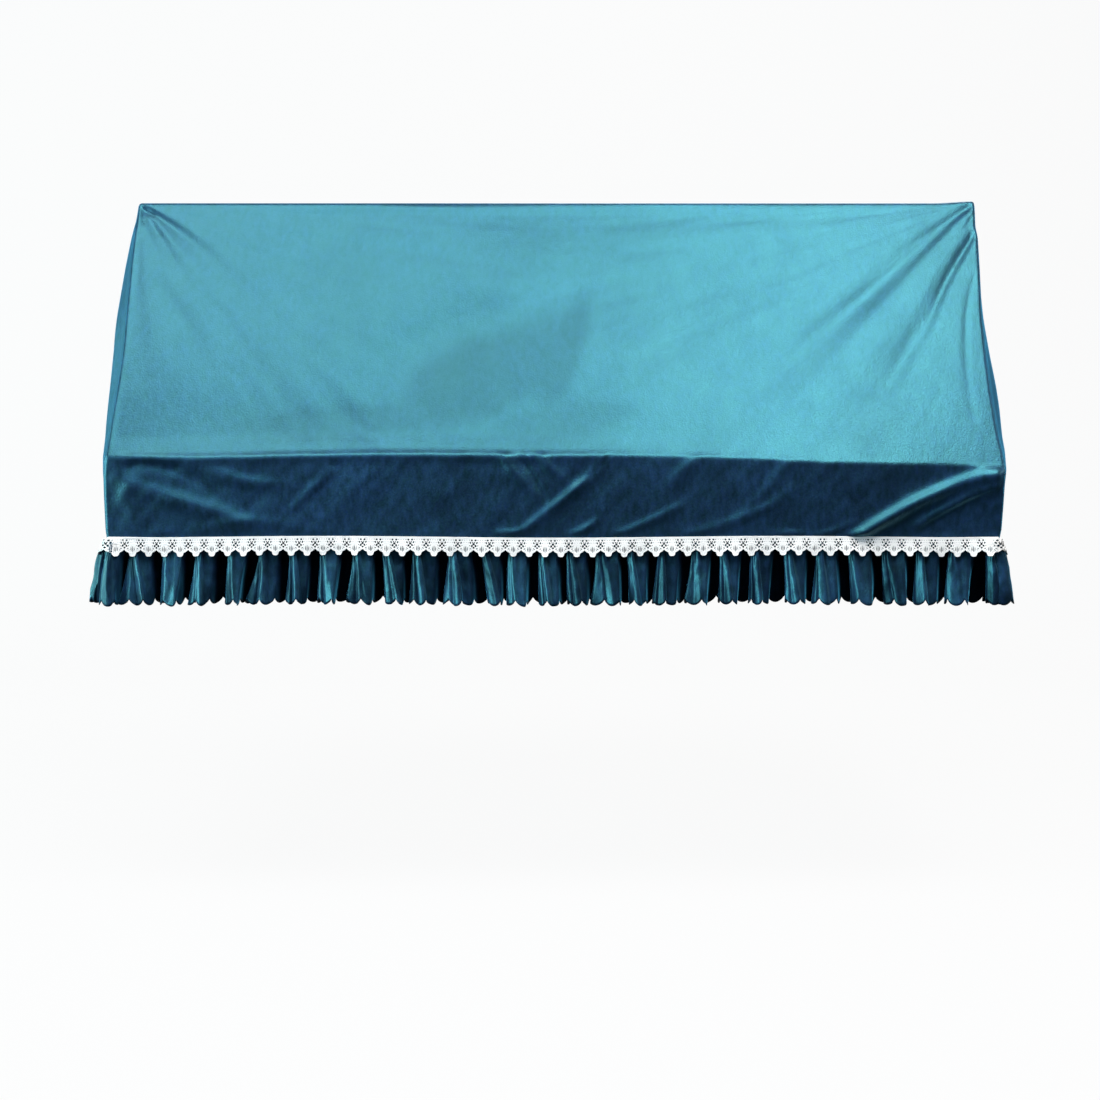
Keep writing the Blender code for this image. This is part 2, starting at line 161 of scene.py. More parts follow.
backdrop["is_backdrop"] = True

LIGHTS = {
    "overhead_front": {"at": (-0.40, -1.50, 2.2), "size": (3.2, 1.2), "watts": 115, "colour": "#ffffff"},
    "overhead_right": {"at": (1.12, -1.40, 2.15), "size": (1.3, 0.9), "watts": 54, "colour": "#ffffff"},
    "left_key": {"at": (-6.0, -3.2, 0.1), "size": (2.4, 3.0), "watts": 420, "colour": "#dcf2f8"},
    "left_side": {"at": (-5.6, 0.4, 0.2), "size": (1.6, 2.6), "watts": 225, "colour": "#a6f2f0"},
    "front_fill": {"at": (-1.2, -3.7, 1.8), "size": (3.0, 0.9), "watts": 26, "colour": "#b8d4ff"},
    "right_rim": {"at": (3.2, -0.6, 0.7), "size": (0.8, 1.4), "watts": 14, "colour": "#ffffff"},
    "back_fill": {"at": (0.8, 2.6, 2.6), "size": (2.2, 1.4), "watts": 50, "colour": "#ffffff"},
}
for name, row in LIGHTS.items():
    lamp = bpy.data.lights.new(name, "AREA")
    lamp.shape = "RECTANGLE"
    lamp.size, lamp.size_y = row["size"]
    lamp.energy = row["watts"]
    lamp.color = linear(row["colour"])[:3]
    lamp_object = add(name, lamp)
    lamp_object.location = row["at"]
    aim = LAMPS_AIM - lamp_object.location
    lamp_object.rotation_euler = aim.to_track_quat("-Z", "Y").to_euler()

world = bpy.data.worlds.new("studio")
world.use_nodes = True
world.node_tree.nodes.clear()
seen = node(world.node_tree, "ShaderNodeBackground", [("Color", linear("#fdfdfd")), ("Strength", 1.0)])
felt = node(world.node_tree, "ShaderNodeBackground", [("Color", linear("#eef3f8")), ("Strength", ROOM_LIGHT)])
ray = node(world.node_tree, "ShaderNodeLightPath")
either = [(0, ray.outputs["Is Camera Ray"]), (1, felt.outputs[0]), (2, seen.outputs[0])]
both = node(world.node_tree, "ShaderNodeMixShader", either)
node(world.node_tree, "ShaderNodeOutputWorld", [("Surface", both.outputs[0])])
bpy.context.scene.world = world

# Body panel. One length of short-pile velvet goes from the front hem up the drop, over the key edge, up the
# slope, over the top and down the back. It bears on the lid and the key edge only, so the slope hangs in a
# little, and pulls run down it from the two tight front corners of the top.
CLOTH = 0.0016
SEAM_X = 0.76
Y_BACK = body_high.y
Y_FRONT = side_low.y
Y_LID_FRONT = -Y_BACK
Z_TOP = body_high.z
Z_KEY_EDGE = -0.453
Z_HEM = side_low.z
Z_HEM_TURN = Z_HEM + 0.012

# Outer line of the panel: y, z, corner radius, and the row spacing up to that corner
SECTION = [
    {"y": Y_FRONT, "z": Z_HEM, "radius": 0.0, "spacing": 0.0},
    {"y": Y_FRONT, "z": Z_HEM_TURN, "radius": 0.0, "spacing": 0.004},
    {"y": Y_FRONT, "z": Z_KEY_EDGE, "radius": 0.018, "spacing": 0.0042},
    {"y": Y_LID_FRONT, "z": Z_TOP, "radius": 0.010, "spacing": 0.0060},
    {"y": Y_BACK, "z": Z_TOP, "radius": 0.010, "spacing": 0.022},
    {"y": Y_BACK, "z": Z_HEM, "radius": 0.0, "spacing": 0.027},
]
SECTION_NAMES = ["hem", "drop", "slope", "top", "back"]
CORNER_STEPS = 6
ROWS_CLOSER = 0.07

# The key edge isn't quite level: the cloth is pulled up at the left and hangs fuller at the right
KEY_EDGE_SHIFTS = [
    {"x": -0.76, "shift": 0.0030},
    {"x": -0.66, "shift": 0.0007},
    {"x": -0.58, "shift": 0.0010},
    {"x": -0.46, "shift": 0.0038},
    {"x": -0.30, "shift": 0.0068},
    {"x": -0.14, "shift": 0.0058},
    {"x": -0.05, "shift": 0.0042},
    {"x": 0.10, "shift": 0.0050},
    {"x": 0.25, "shift": 0.0040},
    {"x": 0.35, "shift": 0.0002},
    {"x": 0.45, "shift": -0.0055},
    {"x": 0.60, "shift": -0.0080},
    {"x": 0.70, "shift": -0.0110},
    {"x": 0.76, "shift": -0.0200},
]


def crease(start, middle, end, widths, height, ends, spread=1.0, crisp=0.0):
    """One crease in millimetres, as a table row in metres.

    It runs in a bow through three places (x, z). widths are its widths on its left hand and its right hand as
    it runs, and ends the shares of its height at its two ends. It is spread times as wide at its end as at
    its start, and crisp is how far its rounded profile gives way to a sharp one.
    """
    return {
        "x": [place[0] / 1000 for place in (start, middle, end)],
        "z": [place[1] / 1000 for place in (start, middle, end)],
        "widths": [width / 1000 for width in widths],
        "height": height / 1000,
        "ends": ends,
        "spread": spread,
        "crisp": crisp,
    }


# Creases of the slope and of the front drop; a negative height is a hollow
SLOPE_CREASES = [
    # pulls from the top right corner
    crease((757, -4), (707, -40), (640, -105), (4, 7), -2.8, (1.0, 0.1), spread=2.6),
    crease((690, -58), (520, -205), (339, -364), (12, 22), -5, (0.3, 0.2), spread=2.2),
    crease((763, -15), (753, -28), (743, -42), (3, 3), -2.2, (0.8, 0.5)),
    crease((760, -46), (719, -111), (655, -228), (3.5, 5.8), -3.7, (0.9, 0.1), spread=1.9),
    crease((695, -150), (603, -290), (490, -415), (11, 19), -3.6, (0.3, 0.2), spread=2.2),
    crease((740, -30), (630, -170), (460, -340), (10, 10), 1, (0.6, 0.4), spread=3.0),
    crease((749, -135), (727, -235), (721, -374), (3.5, 5), -1.2, (0.7, 0.4), spread=1.6),
    # pulls from the top left corner
    crease((-754, -2), (-746, -9), (-732, -19), (2.8, 2.8), -3.6, (0.9, 0.6)),
    crease((-751, -8), (-749, -21), (-746, -34), (2.8, 2.8), -3.6, (0.9, 0.5)),
    crease((-738, -12), (-640, -80), (-523, -188), (3.5, 7), -3.4, (1.0, 0.1), spread=5.0),
    crease((-744, -16), (-712, -61), (-657, -152), (3, 6.5), -3.2, (1.0, 0.1), spread=4.0),
    crease((-708, -142), (-650, -215), (-588, -294), (10, 14), -1.3, (0.5, 0.5), spread=1.6),
    crease((-620, -161), (-585, -200), (-549, -250), (8, 8), -1, (0.5, 0.5)),
    crease((-752, -60), (-742, -180), (-715, -320), (6, 8), -1.4, (0.5, 0.5), spread=4.0),
    # soft troughs in the middle of the slope
    crease((-330, -360), (-202, -238), (-10, -185), (45, 85), -4, (0.3, 0.5)),
    crease((-392, -344), (-350, -385), (-290, -430), (16, 30), -1.4, (0.4, 0.6)),
    crease((-180, -60), (-60, -180), (120, -330), (110, 70), 4.5, (0.3, 0.5)),
    crease((220, -50), (260, -200), (240, -400), (120, 80), -3.5, (0.2, 0.7)),
    # the slope sags just above the key edge, on the left and in the middle
    crease((-735, -414), (-250, -408), (300, -422), (85, 28), -3.6, (0.6, 0.3)),
]
DROP_CREASES = [
    # folds of the front drop
    crease((748, -460), (616, -522), (508, -590), (25, 18), 15.5, (0.75, 1.0), spread=0.5, crisp=0.4),
    crease((735, -491), (690, -517), (620, -563), (7, 10), 7.4, (0.6, 0.7), crisp=0.2),
    crease((700, -490), (620, -532), (540, -578), (10, 10), -2.8, (0.5, 0.5)),
    crease((90, -449), (73, -474), (37, -506), (7, 7), 4.4, (0.5, 1.0), crisp=0.2),
    crease((50, -497), (1, -534), (-38, -563), (10, 7), 6.5, (0.7, 0.7), crisp=0.3),
    crease((95, -452), (64, -485), (30, -517), (4, 6), -3.9, (0.8, 0.3)),
    crease((-59, -449), (-35, -481), (-13, -520), (4.5, 5), -4.8, (0.9, 0.5)),
    crease((-38, -452), (-25, -470), (-13, -488), (4, 4), -3.4, (0.9, 0.5)),
    crease((-85, -450), (-65, -480), (-30, -515), (8, 8), 5.8, (0.8, 0.3)),
    crease((-20, -448), (-5, -470), (20, -490), (7, 7), 4.8, (0.8, 0.3)),
    crease((68, -563), (53, -572), (37, -580), (6, 6), 4.6, (0.6, 0.8)),
    crease((207, -536), (165, -558), (117, -578), (7, 6), 5.1, (0.5, 0.6), crisp=0.2),
    crease((402, -505), (340, -545), (242, -578), (10, 8), 4.7, (0.5, 0.5)),
    crease((381, -456), (354, -497), (334, -525), (8, 7), -1.8, (0.8, 0.4)),
    crease((393, -455), (365, -500), (318, -547), (9, 9), 3.4, (0.7, 0.4)),
    crease((505, -561), (471, -577), (452, -583), (4, 5), 3.6, (0.5, 0.9)),
    crease((425, -583), (405, -579), (388, -583), (5, 5), 3.9, (0.8, 0.8)),
    crease((250, -452), (215, -480), (190, -515), (10, 10), 3.8, (0.7, 0.3)),
    crease((-705, -500), (-627, -526), (-546, -551), (14, 15), 8.8, (0.5, 0.7)),
    crease((-715, -464), (-640, -470), (-560, -515), (8, 12), -4.6, (0.9, 0.6)),
    crease((-572, -475), (-522, -492), (-470, -497), (10, 11), 5.5, (0.6, 0.5)),
    crease((-745, -490), (-712, -535), (-665, -580), (20, 20), 4.2, (0.7, 0.5)),
    crease((-600, -572), (-520, -560), (-430, -570), (10, 12), 3.9, (0.5, 0.4)),
    crease((-377, -478), (-408, -505), (-438, -535), (4.5, 3.5), 6.2, (0.4, 0.6), crisp=0.4),
    crease((-385, -458), (-368, -468), (-352, -480), (4, 4), -2.2, (0.7, 0.7)),
    crease((-312, -484), (-345, -515), (-375, -548), (10, 10), 3.9, (0.5, 0.5)),
    crease((-90, -579), (-62, -577), (-41, -567), (5, 6), 3.8, (0.8, 0.6)),
]

# Marks of painted shade on the slope, where it lies in shade: they darken the velvet's colour and weaken its
# gloss and sheen.
# Middle, half length, half width and turn in degrees, how strong the painted shade is, and how soft the mark's
# edge is
MARK_STRETCH = 1.18
MARK_EDGE = 1.2
PAINTED_SHADE_MARKS = [
    {"x": -0.115, "z": -0.310, "long": 0.175, "wide": 0.085, "turn": 32, "lean": 0.42, "soft": 0.5},
    {"x": 0.020, "z": -0.275, "long": 0.130, "wide": 0.035, "turn": 72, "lean": 0.46, "soft": 0.6},
    {"x": -0.360, "z": -0.392, "long": 0.210, "wide": 0.040, "turn": 4, "lean": 0.34, "soft": 0.7},
    {"x": 0.010, "z": -0.395, "long": 0.130, "wide": 0.045, "turn": 8, "lean": 0.26, "soft": 0.7},
    {"x": 0.560, "z": -0.375, "long": 0.090, "wide": 0.045, "turn": 55, "lean": 0.17, "soft": 0.8},
]

# The side seams don't run quite straight: the right top corner is a full pouch, and the left seam is drawn in
# halfway down the slope. How far out the seam lies at each height:
SEAM_SHIFTS = [
    {"z": -0.589, "left": 0.000, "right": 0.0010},
    {"z": -0.574, "left": 0.002, "right": 0.0040},
    {"z": -0.520, "left": 0.003, "right": 0.0045},
    {"z": -0.480, "left": 0.003, "right": 0.0045},
    {"z": -0.453, "left": 0.000, "right": 0.0055},
    {"z": -0.420, "left": -0.002, "right": 0.0040},
    {"z": -0.400, "left": -0.002, "right": 0.0008},
    {"z": -0.330, "left": -0.005, "right": -0.0020},
    {"z": -0.270, "left": -0.006, "right": -0.0020},
    {"z": -0.200, "left": -0.003, "right": 0.0000},
    {"z": -0.117, "left": 0.000, "right": 0.0075},
    {"z": -0.060, "left": 0.001, "right": 0.0120},
    {"z": -0.043, "left": 0.001, "right": 0.0100},
    {"z": -0.020, "left": 0.000, "right": 0.0125},
    {"z": 0.000, "left": 0.000, "right": 0.0140},
]
POUCH_RISE = 0.0034
POUCH_START = 0.69
POUCH_RUN = 0.07
POUCH_BEHIND = 0.0056  # how far behind the top's front line the pouch begins to fall off
POUCH_DEPTH = 0.0836  # a quarter of the flat top


def smooth(t):
    t = np.clip(t, 0.0, 1.0)
    return t * t * (3 - 2 * t)


def rising(distance, fade):
    """0 up to the start of a fade, and 1 once its run is past."""
    start, run = fade
    return smooth((distance - start) / run)


def column(table, key):
    return [row[key] for row in table]


def eased(places, values, at, samples, averaged):
    """A table's value at a place, with its corners eased: of its samples, so many are averaged at a time."""
    fine = np.linspace(places[0], places[-1], samples)
    kernel = np.hanning(averaged)
    padded = np.pad(np.interp(fine, places, values), averaged // 2, mode="edge")
    return np.interp(at, fine, np.convolve(padded, kernel / kernel.sum(), mode="valid"))


def key_edge_shift(x, z):
    """How far the key edge's unevenness moves a point of the slope or the front drop."""
    share = np.where(
        z >= Z_KEY_EDGE,
        (Z_TOP - z) / (Z_TOP - Z_KEY_EDGE),
        np.maximum(0.0, (z - Z_HEM_TURN) / (Z_KEY_EDGE - Z_HEM_TURN)),
    )
    return share * np.interp(x, column(KEY_EDGE_SHIFTS, "x"), column(KEY_EDGE_SHIFTS, "shift"))


def slide(shift):
    """How far the slope comes forward when it slides up or down in its own plane by a shift."""
    return shift * (Y_LID_FRONT - Y_FRONT) / -Z_KEY_EDGE


def pouch_rise(x, z):
    """How far the full right corner stands up above the flat top."""
    near_top = np.clip((z - Z_KEY_EDGE) / (Z_TOP - Z_KEY_EDGE), 0.0, 1.0) ** 4
    return POUCH_RISE * smooth((x - POUCH_START) / POUCH_RUN) * near_top


def seam_shift(z, side):
    return eased(column(SEAM_SHIFTS, "z"), column(SEAM_SHIFTS, side), z, samples=393, averaged=15)


def section_rows():
    """The panel's outer line as rows (y, z, normal y, normal z, which stretch), rounded at its corners."""
    rows = []
    start = (SECTION[0]["y"], SECTION[0]["z"])
    for i, name in enumerate(SECTION_NAMES):
        here, there = SECTION[i], SECTION[i + 1]
        run = Vector((there["y"] - here["y"], there["z"] - here["z"])).normalized()
        turn, radius = 0.0, there["radius"]
        if i + 2 < len(SECTION):
            after = SECTION[i + 2]
            turn = math.atan2(run.y, run.x) - math.atan2(after["z"] - there["z"], after["y"] - there["y"])
        setback = radius * math.tan(turn / 2)
        end = (there["y"] - run.x * setback, there["z"] - run.y * setback)
        steps = max(1, round(math.dist(start, end) / there["spacing"]))
        for k in range(1 if rows else 0, steps + 1):
            share = k / steps
            if name == "slope":
                share -= ROWS_CLOSER * math.sin(2 * math.pi * share)  # rows lie closer at both ends
            y = start[0] + (end[0] - start[0]) * share
            z = start[1] + (end[1] - start[1]) * share
            rows.append((y, z, -run.y, run.x, name))
        if radius:
            centre = (end[0] + run.y * radius, end[1] - run.x * radius)
            heading = math.atan2(run.x, -run.y)
            for k in range(1, CORNER_STEPS + 1):
                angle = heading - turn * k / CORNER_STEPS
                y, z = math.cos(angle), math.sin(angle)
                rows.append((centre[0] + radius * y, centre[1] + radius * z, y, z, "edge"))
        start = rows[-1][:2]
    return rows


BOW_SAMPLES = 33
FULL_HEIGHT_AT = 0.4  # share of a crease's way
TENT_HEIGHT = 1.1
TENT_TIP = 0.03  # how far the sharp profile's tip is rounded


def bow(start, middle, end, t):
    """A curved run from start through middle to end."""
    bend = 2 * middle - (start + end) / 2
    return (1 - t) ** 2 * start + 2 * t * (1 - t) * bend + t**2 * end


def crease_lift(creases, x, z, stretch=1.0):
    """How far creases lift the cloth at places on a stretch that is stretch times as long as it is high."""
    lift = np.zeros(np.broadcast(x, z).shape)
    t = np.linspace(0.0, 1.0, BOW_SAMPLES)
    for row in creases:
        line_x, line_z = bow(*row["x"], t), bow(*row["z"], t) * stretch
        along_x, along_z = np.gradient(line_x, t), np.gradient(line_z, t)
        length = np.hypot(along_x, along_z)
        along_x, along_z = along_x / length, along_z / length
        away_x = x[..., None] - line_x
        away_z = (z * stretch)[..., None] - line_z
        near = np.argmin(away_x**2 + away_z**2, axis=-1)[..., None]
        away_x = np.take_along_axis(away_x, near, -1)[..., 0]
        away_z = np.take_along_axis(away_z, near, -1)[..., 0]
        near = near[..., 0]
        across = away_x * along_z[near] - away_z * along_x[near]
        place = t[near] + (away_x * along_x[near] + away_z * along_z[near]) / length[near]
        past = (place - np.clip(place, 0.0, 1.0)) * length[near]
        place = np.clip(place, 0.0, 1.0)
        wide = np.where(across < 0, *row["widths"]) * (1 + (row["spread"] - 1) * place)
        soft = np.exp(-((across / wide) ** 2))
        tent = np.clip(TENT_HEIGHT - np.sqrt((across / wide) ** 2 + TENT_TIP), 0.0, 1.0)
        shape = soft * (1 - row["crisp"]) + tent * row["crisp"]
        shape = shape * np.exp(-((past / sum(row["widths"])) ** 2))
        start, end = row["ends"]
        lift += row["height"] * shape * np.interp(place, [0.0, FULL_HEIGHT_AT, 1.0], [start, 1.0, end])
    return lift


def ripple(x, y, scale_x, scale_y, seed):
    """Smooth uneven noise over a grid of places, about -1 to 1."""
    flat = [
        noise.noise(Vector((a * scale_x + seed, b * scale_y - seed, seed * 0.37)))
        for a, b in zip(x.ravel(), y.ravel())
    ]
    return np.array(flat).reshape(x.shape)


# Small unevenness of the cloth: its height, how often it comes per metre or radian each way, and a seed
WAVES = {
    "slope": (0.0012, 5.0, 3.5, 3.1),
    "drop_broad": (0.0010, 7.0, 9.0, 5.7),
    "drop_fine": (0.0009, 24.0, 30.0, 2.9),
    "drop_slanted": (0.0014, 44.0, 9.0, 7.1),
    "top": (0.0005, 5.0, 6.0, 1.9),
    "back": (0.0025, 6.0, 1.2, 6.6),
    "corner_rays": (0.0007, 17.0, 3.0, 5.2),
    "corner_fine_rays": (0.00035, 43.0, 7.0, 2.2),
    "mark_edge": (0.22, 16.0, 16.0, 4.4),
    "side": (0.0020, 9.0, 5.0, 4.4),
    "ruffle_out": (0.0018, 22.0, 2.2, 9.3),
    "ruffle_ridge": (0.0024, 36.0, 3.5, 2.7),
    "ruffle_sway": (0.0022, 16.0, 1.7, 4.1),
    "ruffle_pile": (1.5, 30.0, 16.0, 6.6),
}


def wave(kind, x, y, seed_shift=0.0):
    height, often_x, often_y, seed = WAVES[kind]
    return height * ripple(x, y, often_x, often_y, seed + seed_shift)


SEAM_ROUND = 0.007  # the cloth turns round a seam with this radius
SEAM_INSET = SEAM_ROUND * (1 - math.sqrt(0.5))  # so the seam itself lies this far inside the sharp edge


def seam_inset(distance):
    """How far the cloth is drawn in at a distance from the sharp edge that a seam rounds off."""
    inside = np.clip(SEAM_ROUND - distance, 0.0, SEAM_ROUND)
    return SEAM_ROUND - np.sqrt(SEAM_ROUND**2 - inside**2)


def cloth(name, points, flat_u, flat_v, material, thickness=CLOTH):
    """A sheet through rows of points, with its flat-cut coordinates in metres as its UV map."""
    rows, columns = points.shape[:2]
    mesh = bpy.data.meshes.new(name)
    corner = np.arange(rows * columns).reshape(rows, columns)
    faces = np.stack([corner[:-1, :-1], corner[:-1, 1:], corner[1:, 1:], corner[1:, :-1]], axis=-1)
    mesh.from_pydata(points.reshape(-1, 3).tolist(), [], faces.reshape(-1, 4).tolist())
    mesh.polygons.foreach_set("use_smooth", [True] * len(mesh.polygons))
    layer = mesh.uv_layers.new(name="flat")
    uv = np.stack([np.broadcast_to(flat_u, (rows, columns)), np.broadcast_to(flat_v, (rows, columns))], -1)
    layer.data.foreach_set("uv", uv.reshape(-1, 2)[faces.reshape(-1)].ravel())
    sheet = add(name, mesh)
    mesh.materials.append(material)
    wall = sheet.modifiers.new("thickness", "SOLIDIFY")
    wall.thickness, wall.offset = thickness, -1.0
    return sheet


def lay_pile_and_painted_shade(sheet, lean):
    """Stores at each of a sheet's points, from 0 to 2, how much the velvet is darkened and dulled there:
    painted shade, and flat pile.
    """
    sheet.data.attributes.new("nap_lean", "FLOAT", "POINT").data.foreach_set("value", lean.ravel())


# Velvet: a woven polyester ground with a short, dense pile, crushed in places by folding and packing. Its
# dyed fibres shine like satin when they lean towards the light and are nearly black looking into them, so it
# has a dark base, a tinted broad gloss and a sheen, with clouded patches where the pile leans another way.
# Where the stored attribute is high the velvet is darker and shines less: painted shade in the darker marks on
# the slope and inside the ruffle's folds, and flat pile in the ruffle's clouded patches.
PILE_GRAIN = 0.0028  # pile tufts, drawn several times as coarse as they are, so that they show
MARK_SIZE = 0.009  # small pressure marks
CRUSH_SIZE = 0.034
NAP_SIZE = 0.22
# Relief of the crushed pile, its pressure marks and its tufts: strength, and depth in metres
VELVET_BUMPS = [(0.20, 0.0034), (0.3, 0.0008), (0.5, 0.0005)]


def speckle(tree, place, size, detail, **others):
    """Noise with specks of a size in metres."""
    inputs = [("Vector", place), ("Scale", 1 / size), ("Detail", detail), *others.items()]
    return node(tree, "ShaderNodeTexNoise", inputs).outputs


def ranged(tree, value, low, high, from_low=0.3, from_high=0.7):
    """A value brought from one range to another."""
    limits = {"From Min": from_low, "From Max": from_high, "To Min": low, "To Max": high}
    return node(tree, "ShaderNodeMapRange", [("Value", value), *limits.items()]).outputs["Result"]


def mixed(tree, factor, a, b, kind="RGBA", **blend):
    inputs = [("Factor", factor), ("A", a), ("B", b)]
    return node(tree, "ShaderNodeMix", inputs, data_type=kind, **blend).outputs["Result"]


def times(tree, a, b, *added):
    """a times b, plus what is added."""
    operation = "MULTIPLY_ADD" if added else "MULTIPLY"
    return node(tree, "ShaderNodeMath", enumerate((a, b, *added)), operation=operation).outputs["Value"]


def make_velvet():
    velvet, tree, shader = surface("crushed_pile_velvet_teal")
    place = node(tree, "ShaderNodeTexCoord").outputs["Object"]
    nap = speckle(tree, place, NAP_SIZE, 2.0)["Fac"]
    brushing = [("Vector", place), ("Rotation", (0.0, 0.35, 0.0)), ("Scale", (1.0, 0.6, 0.5))]
    brushed = node(tree, "ShaderNodeMapping", brushing).outputs[0]
    crush = speckle(tree, brushed, CRUSH_SIZE, 4.0, Roughness=0.55)["Fac"]
    pile = speckle(tree, place, PILE_GRAIN, 1.0)
    marks = speckle(tree, brushed, MARK_SIZE, 2.0)["Fac"]
    shades = node(tree, "ShaderNodeValToRGB", [("Fac", mixed(tree, 0.45, nap, crush, "FLOAT"))])
    for stop, place_on_ramp, colour in zip(shades.color_ramp.elements, (0.36, 0.66), ("#0d152d", "#162848")):
        stop.position = place_on_ramp
        stop.color = linear(colour)
    grain = mixed(tree, 0.35, shades.outputs["Color"], pile["Color"], blend_type="OVERLAY")
    nap_lean = node(tree, "ShaderNodeAttribute", attribute_name="nap_lean").outputs["Fac"]
    # lower where painted shade or flat pile is stored; it darkens the base colour and weakens the gloss and
    # the sheen
    gloss = ranged(tree, nap_lean, 1.0, 0.08, 0.0, 2.0)
    shaded = times(tree, ranged(tree, marks, 0.5, 1.5), gloss)
    worn_and_painted_shade = mixed(tree, 1.0, grain, shaded, blend_type="MULTIPLY")
    rough = times(tree, pile["Fac"], 0.20, ranged(tree, crush, 0.29, 0.33))
    glossy = times(tree, gloss, ranged(tree, pile["Fac"], 0.9, 1.1))
    fill(tree, shader, [("Base Color", worn_and_painted_shade), ("Roughness", rough)])
    fill(tree, shader, [("Specular IOR Level", glossy), ("Specular Tint", linear("#70e7f5"))])
    sheen = [("Sheen Weight", gloss), ("Sheen Roughness", 0.35), ("Sheen Tint", linear("#4cb2dc"))]
    fill(tree, shader, sheen)
    under = []
    for height, (strength, depth) in zip((crush, marks, pile["Fac"]), VELVET_BUMPS):
        inputs = [("Height", height), ("Strength", strength), ("Distance", depth), *under]
        under = [("Normal", node(tree, "ShaderNodeBump", inputs).outputs["Normal"])]
    fill(tree, shader, under)
    return velvet


velvet = make_velvet()

# Columns of the body panel: they lie close beside the seams, and closer together where the creases are small
NEAR_SEAM = [SEAM_INSET + 0.0001, 0.0030, 0.0042, 0.0056, 0.0072, 0.0095, 0.0125]
INNER_HALF = SEAM_X - 0.016
FINE_AT = [(-SEAM_X, 0.10), (0.02, 0.11), (SEAM_X, 0.13)]  # x, reach
WIDE_COLUMN = 0.0088
FINE_COLUMN = 0.0038


def body_columns():
    across = np.linspace(-INNER_HALF, INNER_HALF, 2001)
    closeness = np.max([np.exp(-(((across - x) / reach) ** 4)) for x, reach in FINE_AT], axis=0)
    per_metre = 1 / WIDE_COLUMN + (1 / FINE_COLUMN - 1 / WIDE_COLUMN) * closeness
    counted = np.concatenate([[0.0], np.cumsum((per_metre[1:] + per_metre[:-1]) / 2 * np.diff(across))])
    inner = np.interp(np.linspace(0.0, counted[-1], round(counted[-1]) + 1), counted, across)
    return np.concatenate([[-SEAM_X + d for d in NEAR_SEAM], inner, [SEAM_X - d for d in NEAR_SEAM[::-1]]])


# Relief of the panel's stretches. The slope hangs in by its sag and is slack this far from a seam. Fine pulls
# fan out from both top corners, between a reach and a turn in radians. Relief fades beside folds and hems:
# each pair is where it starts and over how much it rises, and the last one counts from the hem.
SLOPE_SAG = 0.006
SLOPE_SLACK = 0.28
RAY_REACH = 1.15
RAY_FADES = (0.12, 0.6)
RAY_TURN = 1.35
RAY_TURN_FADE = 0.4
SLOPE_WAVES_BELOW_TOP = (0.004, 0.02)
SLOPE_CREASES_BELOW_TOP = (0.002, 0.008)
BACK_BELOW_TOP = (0.02, 0.25)
DROP_ABOVE_HEM = (0.002, 0.010)
LIP = 0.0022
LIP_HEIGHT = 0.008
LIP_END = 0.25  # x
LIP_FADES = {"left": 0.06, "right": 0.3}
KEY_EDGE_BLEND = 0.024  # the slope's relief gives way to the drop's over this height
DROP_LEFT_FADE = 0.05
BESIDE_SEAM = (0.002, 0.014)
# How far from a side seam, and how far behind the top's front line, the cloth follows the seam's shifts
SHIFT_REACH = 0.11
SHIFT_BEHIND = 0.14
SLOPE_STRETCH = math.hypot(Y_LID_FRONT - Y_FRONT, Z_KEY_EDGE) / -Z_KEY_EDGE
FRONT_END = Y_LID_FRONT + 0.001  # the slope and the drop lie in front of this y


def slope_relief(x, z):
    hang = np.sin(np.pi * np.clip((z - Z_KEY_EDGE) / (Z_TOP - Z_KEY_EDGE), 0.0, 1.0))
    slack = smooth((SEAM_X - np.abs(x)) / SLOPE_SLACK)
    lift = hang * wave("slope", x, z) * slack - SLOPE_SAG * hang**0.8 * slack
    for corner_x in (-SEAM_X, SEAM_X):
        away_x, away_z = np.abs(x - corner_x), Z_TOP - z
        turn, reach = np.arctan2(away_z, away_x), np.hypot(away_x, away_z)
        rays = wave("corner_rays", turn, reach, corner_x) + wave("corner_fine_rays", turn, reach, corner_x)
        fade = smooth(reach / RAY_FADES[0]) * smooth((RAY_REACH - reach) / RAY_FADES[1])
        lift = lift + rays * fade * smooth((RAY_TURN - turn) / RAY_TURN_FADE)
    creased = crease_lift(SLOPE_CREASES, x, z, SLOPE_STRETCH) * rising(Z_TOP - z, SLOPE_CREASES_BELOW_TOP)
    return lift * rising(Z_TOP - z, SLOPE_WAVES_BELOW_TOP) + creased


def drop_relief(x, z):
    lift = crease_lift(DROP_CREASES, x, z) + wave("drop_broad", x, z) + wave("drop_fine", x, z)
    lift = lift + wave("drop_slanted", x - z, x + z)
    return lift * rising(z - Z_HEM, DROP_ABOVE_HEM) * smooth((x + SEAM_X) / DROP_LEFT_FADE)


def front_relief(x, z):
    """Slope and drop together, with the key edge between them.

    On the left and in the middle the cloth bears on the rounded key edge, which stands out as a narrow lip.
    """
    above_edge = smooth((z - Z_KEY_EDGE + KEY_EDGE_BLEND / 2) / KEY_EDGE_BLEND)
    lip = LIP * np.exp(-(((z - Z_KEY_EDGE) / LIP_HEIGHT) ** 2))
    lip = lip * smooth((LIP_END - x) / LIP_FADES["right"]) * smooth((x + SEAM_X) / LIP_FADES["left"])
    return slope_relief(x, z) * above_edge + drop_relief(x, z) * (1 - above_edge) + lip


def painted_shade_marks(x, z):
    """How strong the painted shade is in the darker marks on the slope."""
    lean = np.zeros(x.shape)
    uneven = wave("mark_edge", x, z)
    for row in PAINTED_SHADE_MARKS:
        turned = math.radians(row["turn"])
        away_x, away_z = x - row["x"], (z - row["z"]) * MARK_STRETCH
        long_way = (away_x * math.cos(turned) + away_z * math.sin(turned)) / row["long"]
        wide_way = (away_z * math.cos(turned) - away_x * math.sin(turned)) / row["wide"]
        mark = row["lean"] * smooth((MARK_EDGE - np.hypot(long_way, wide_way) + uneven) / row["soft"])
        lean = np.maximum(lean, mark)
    return lean


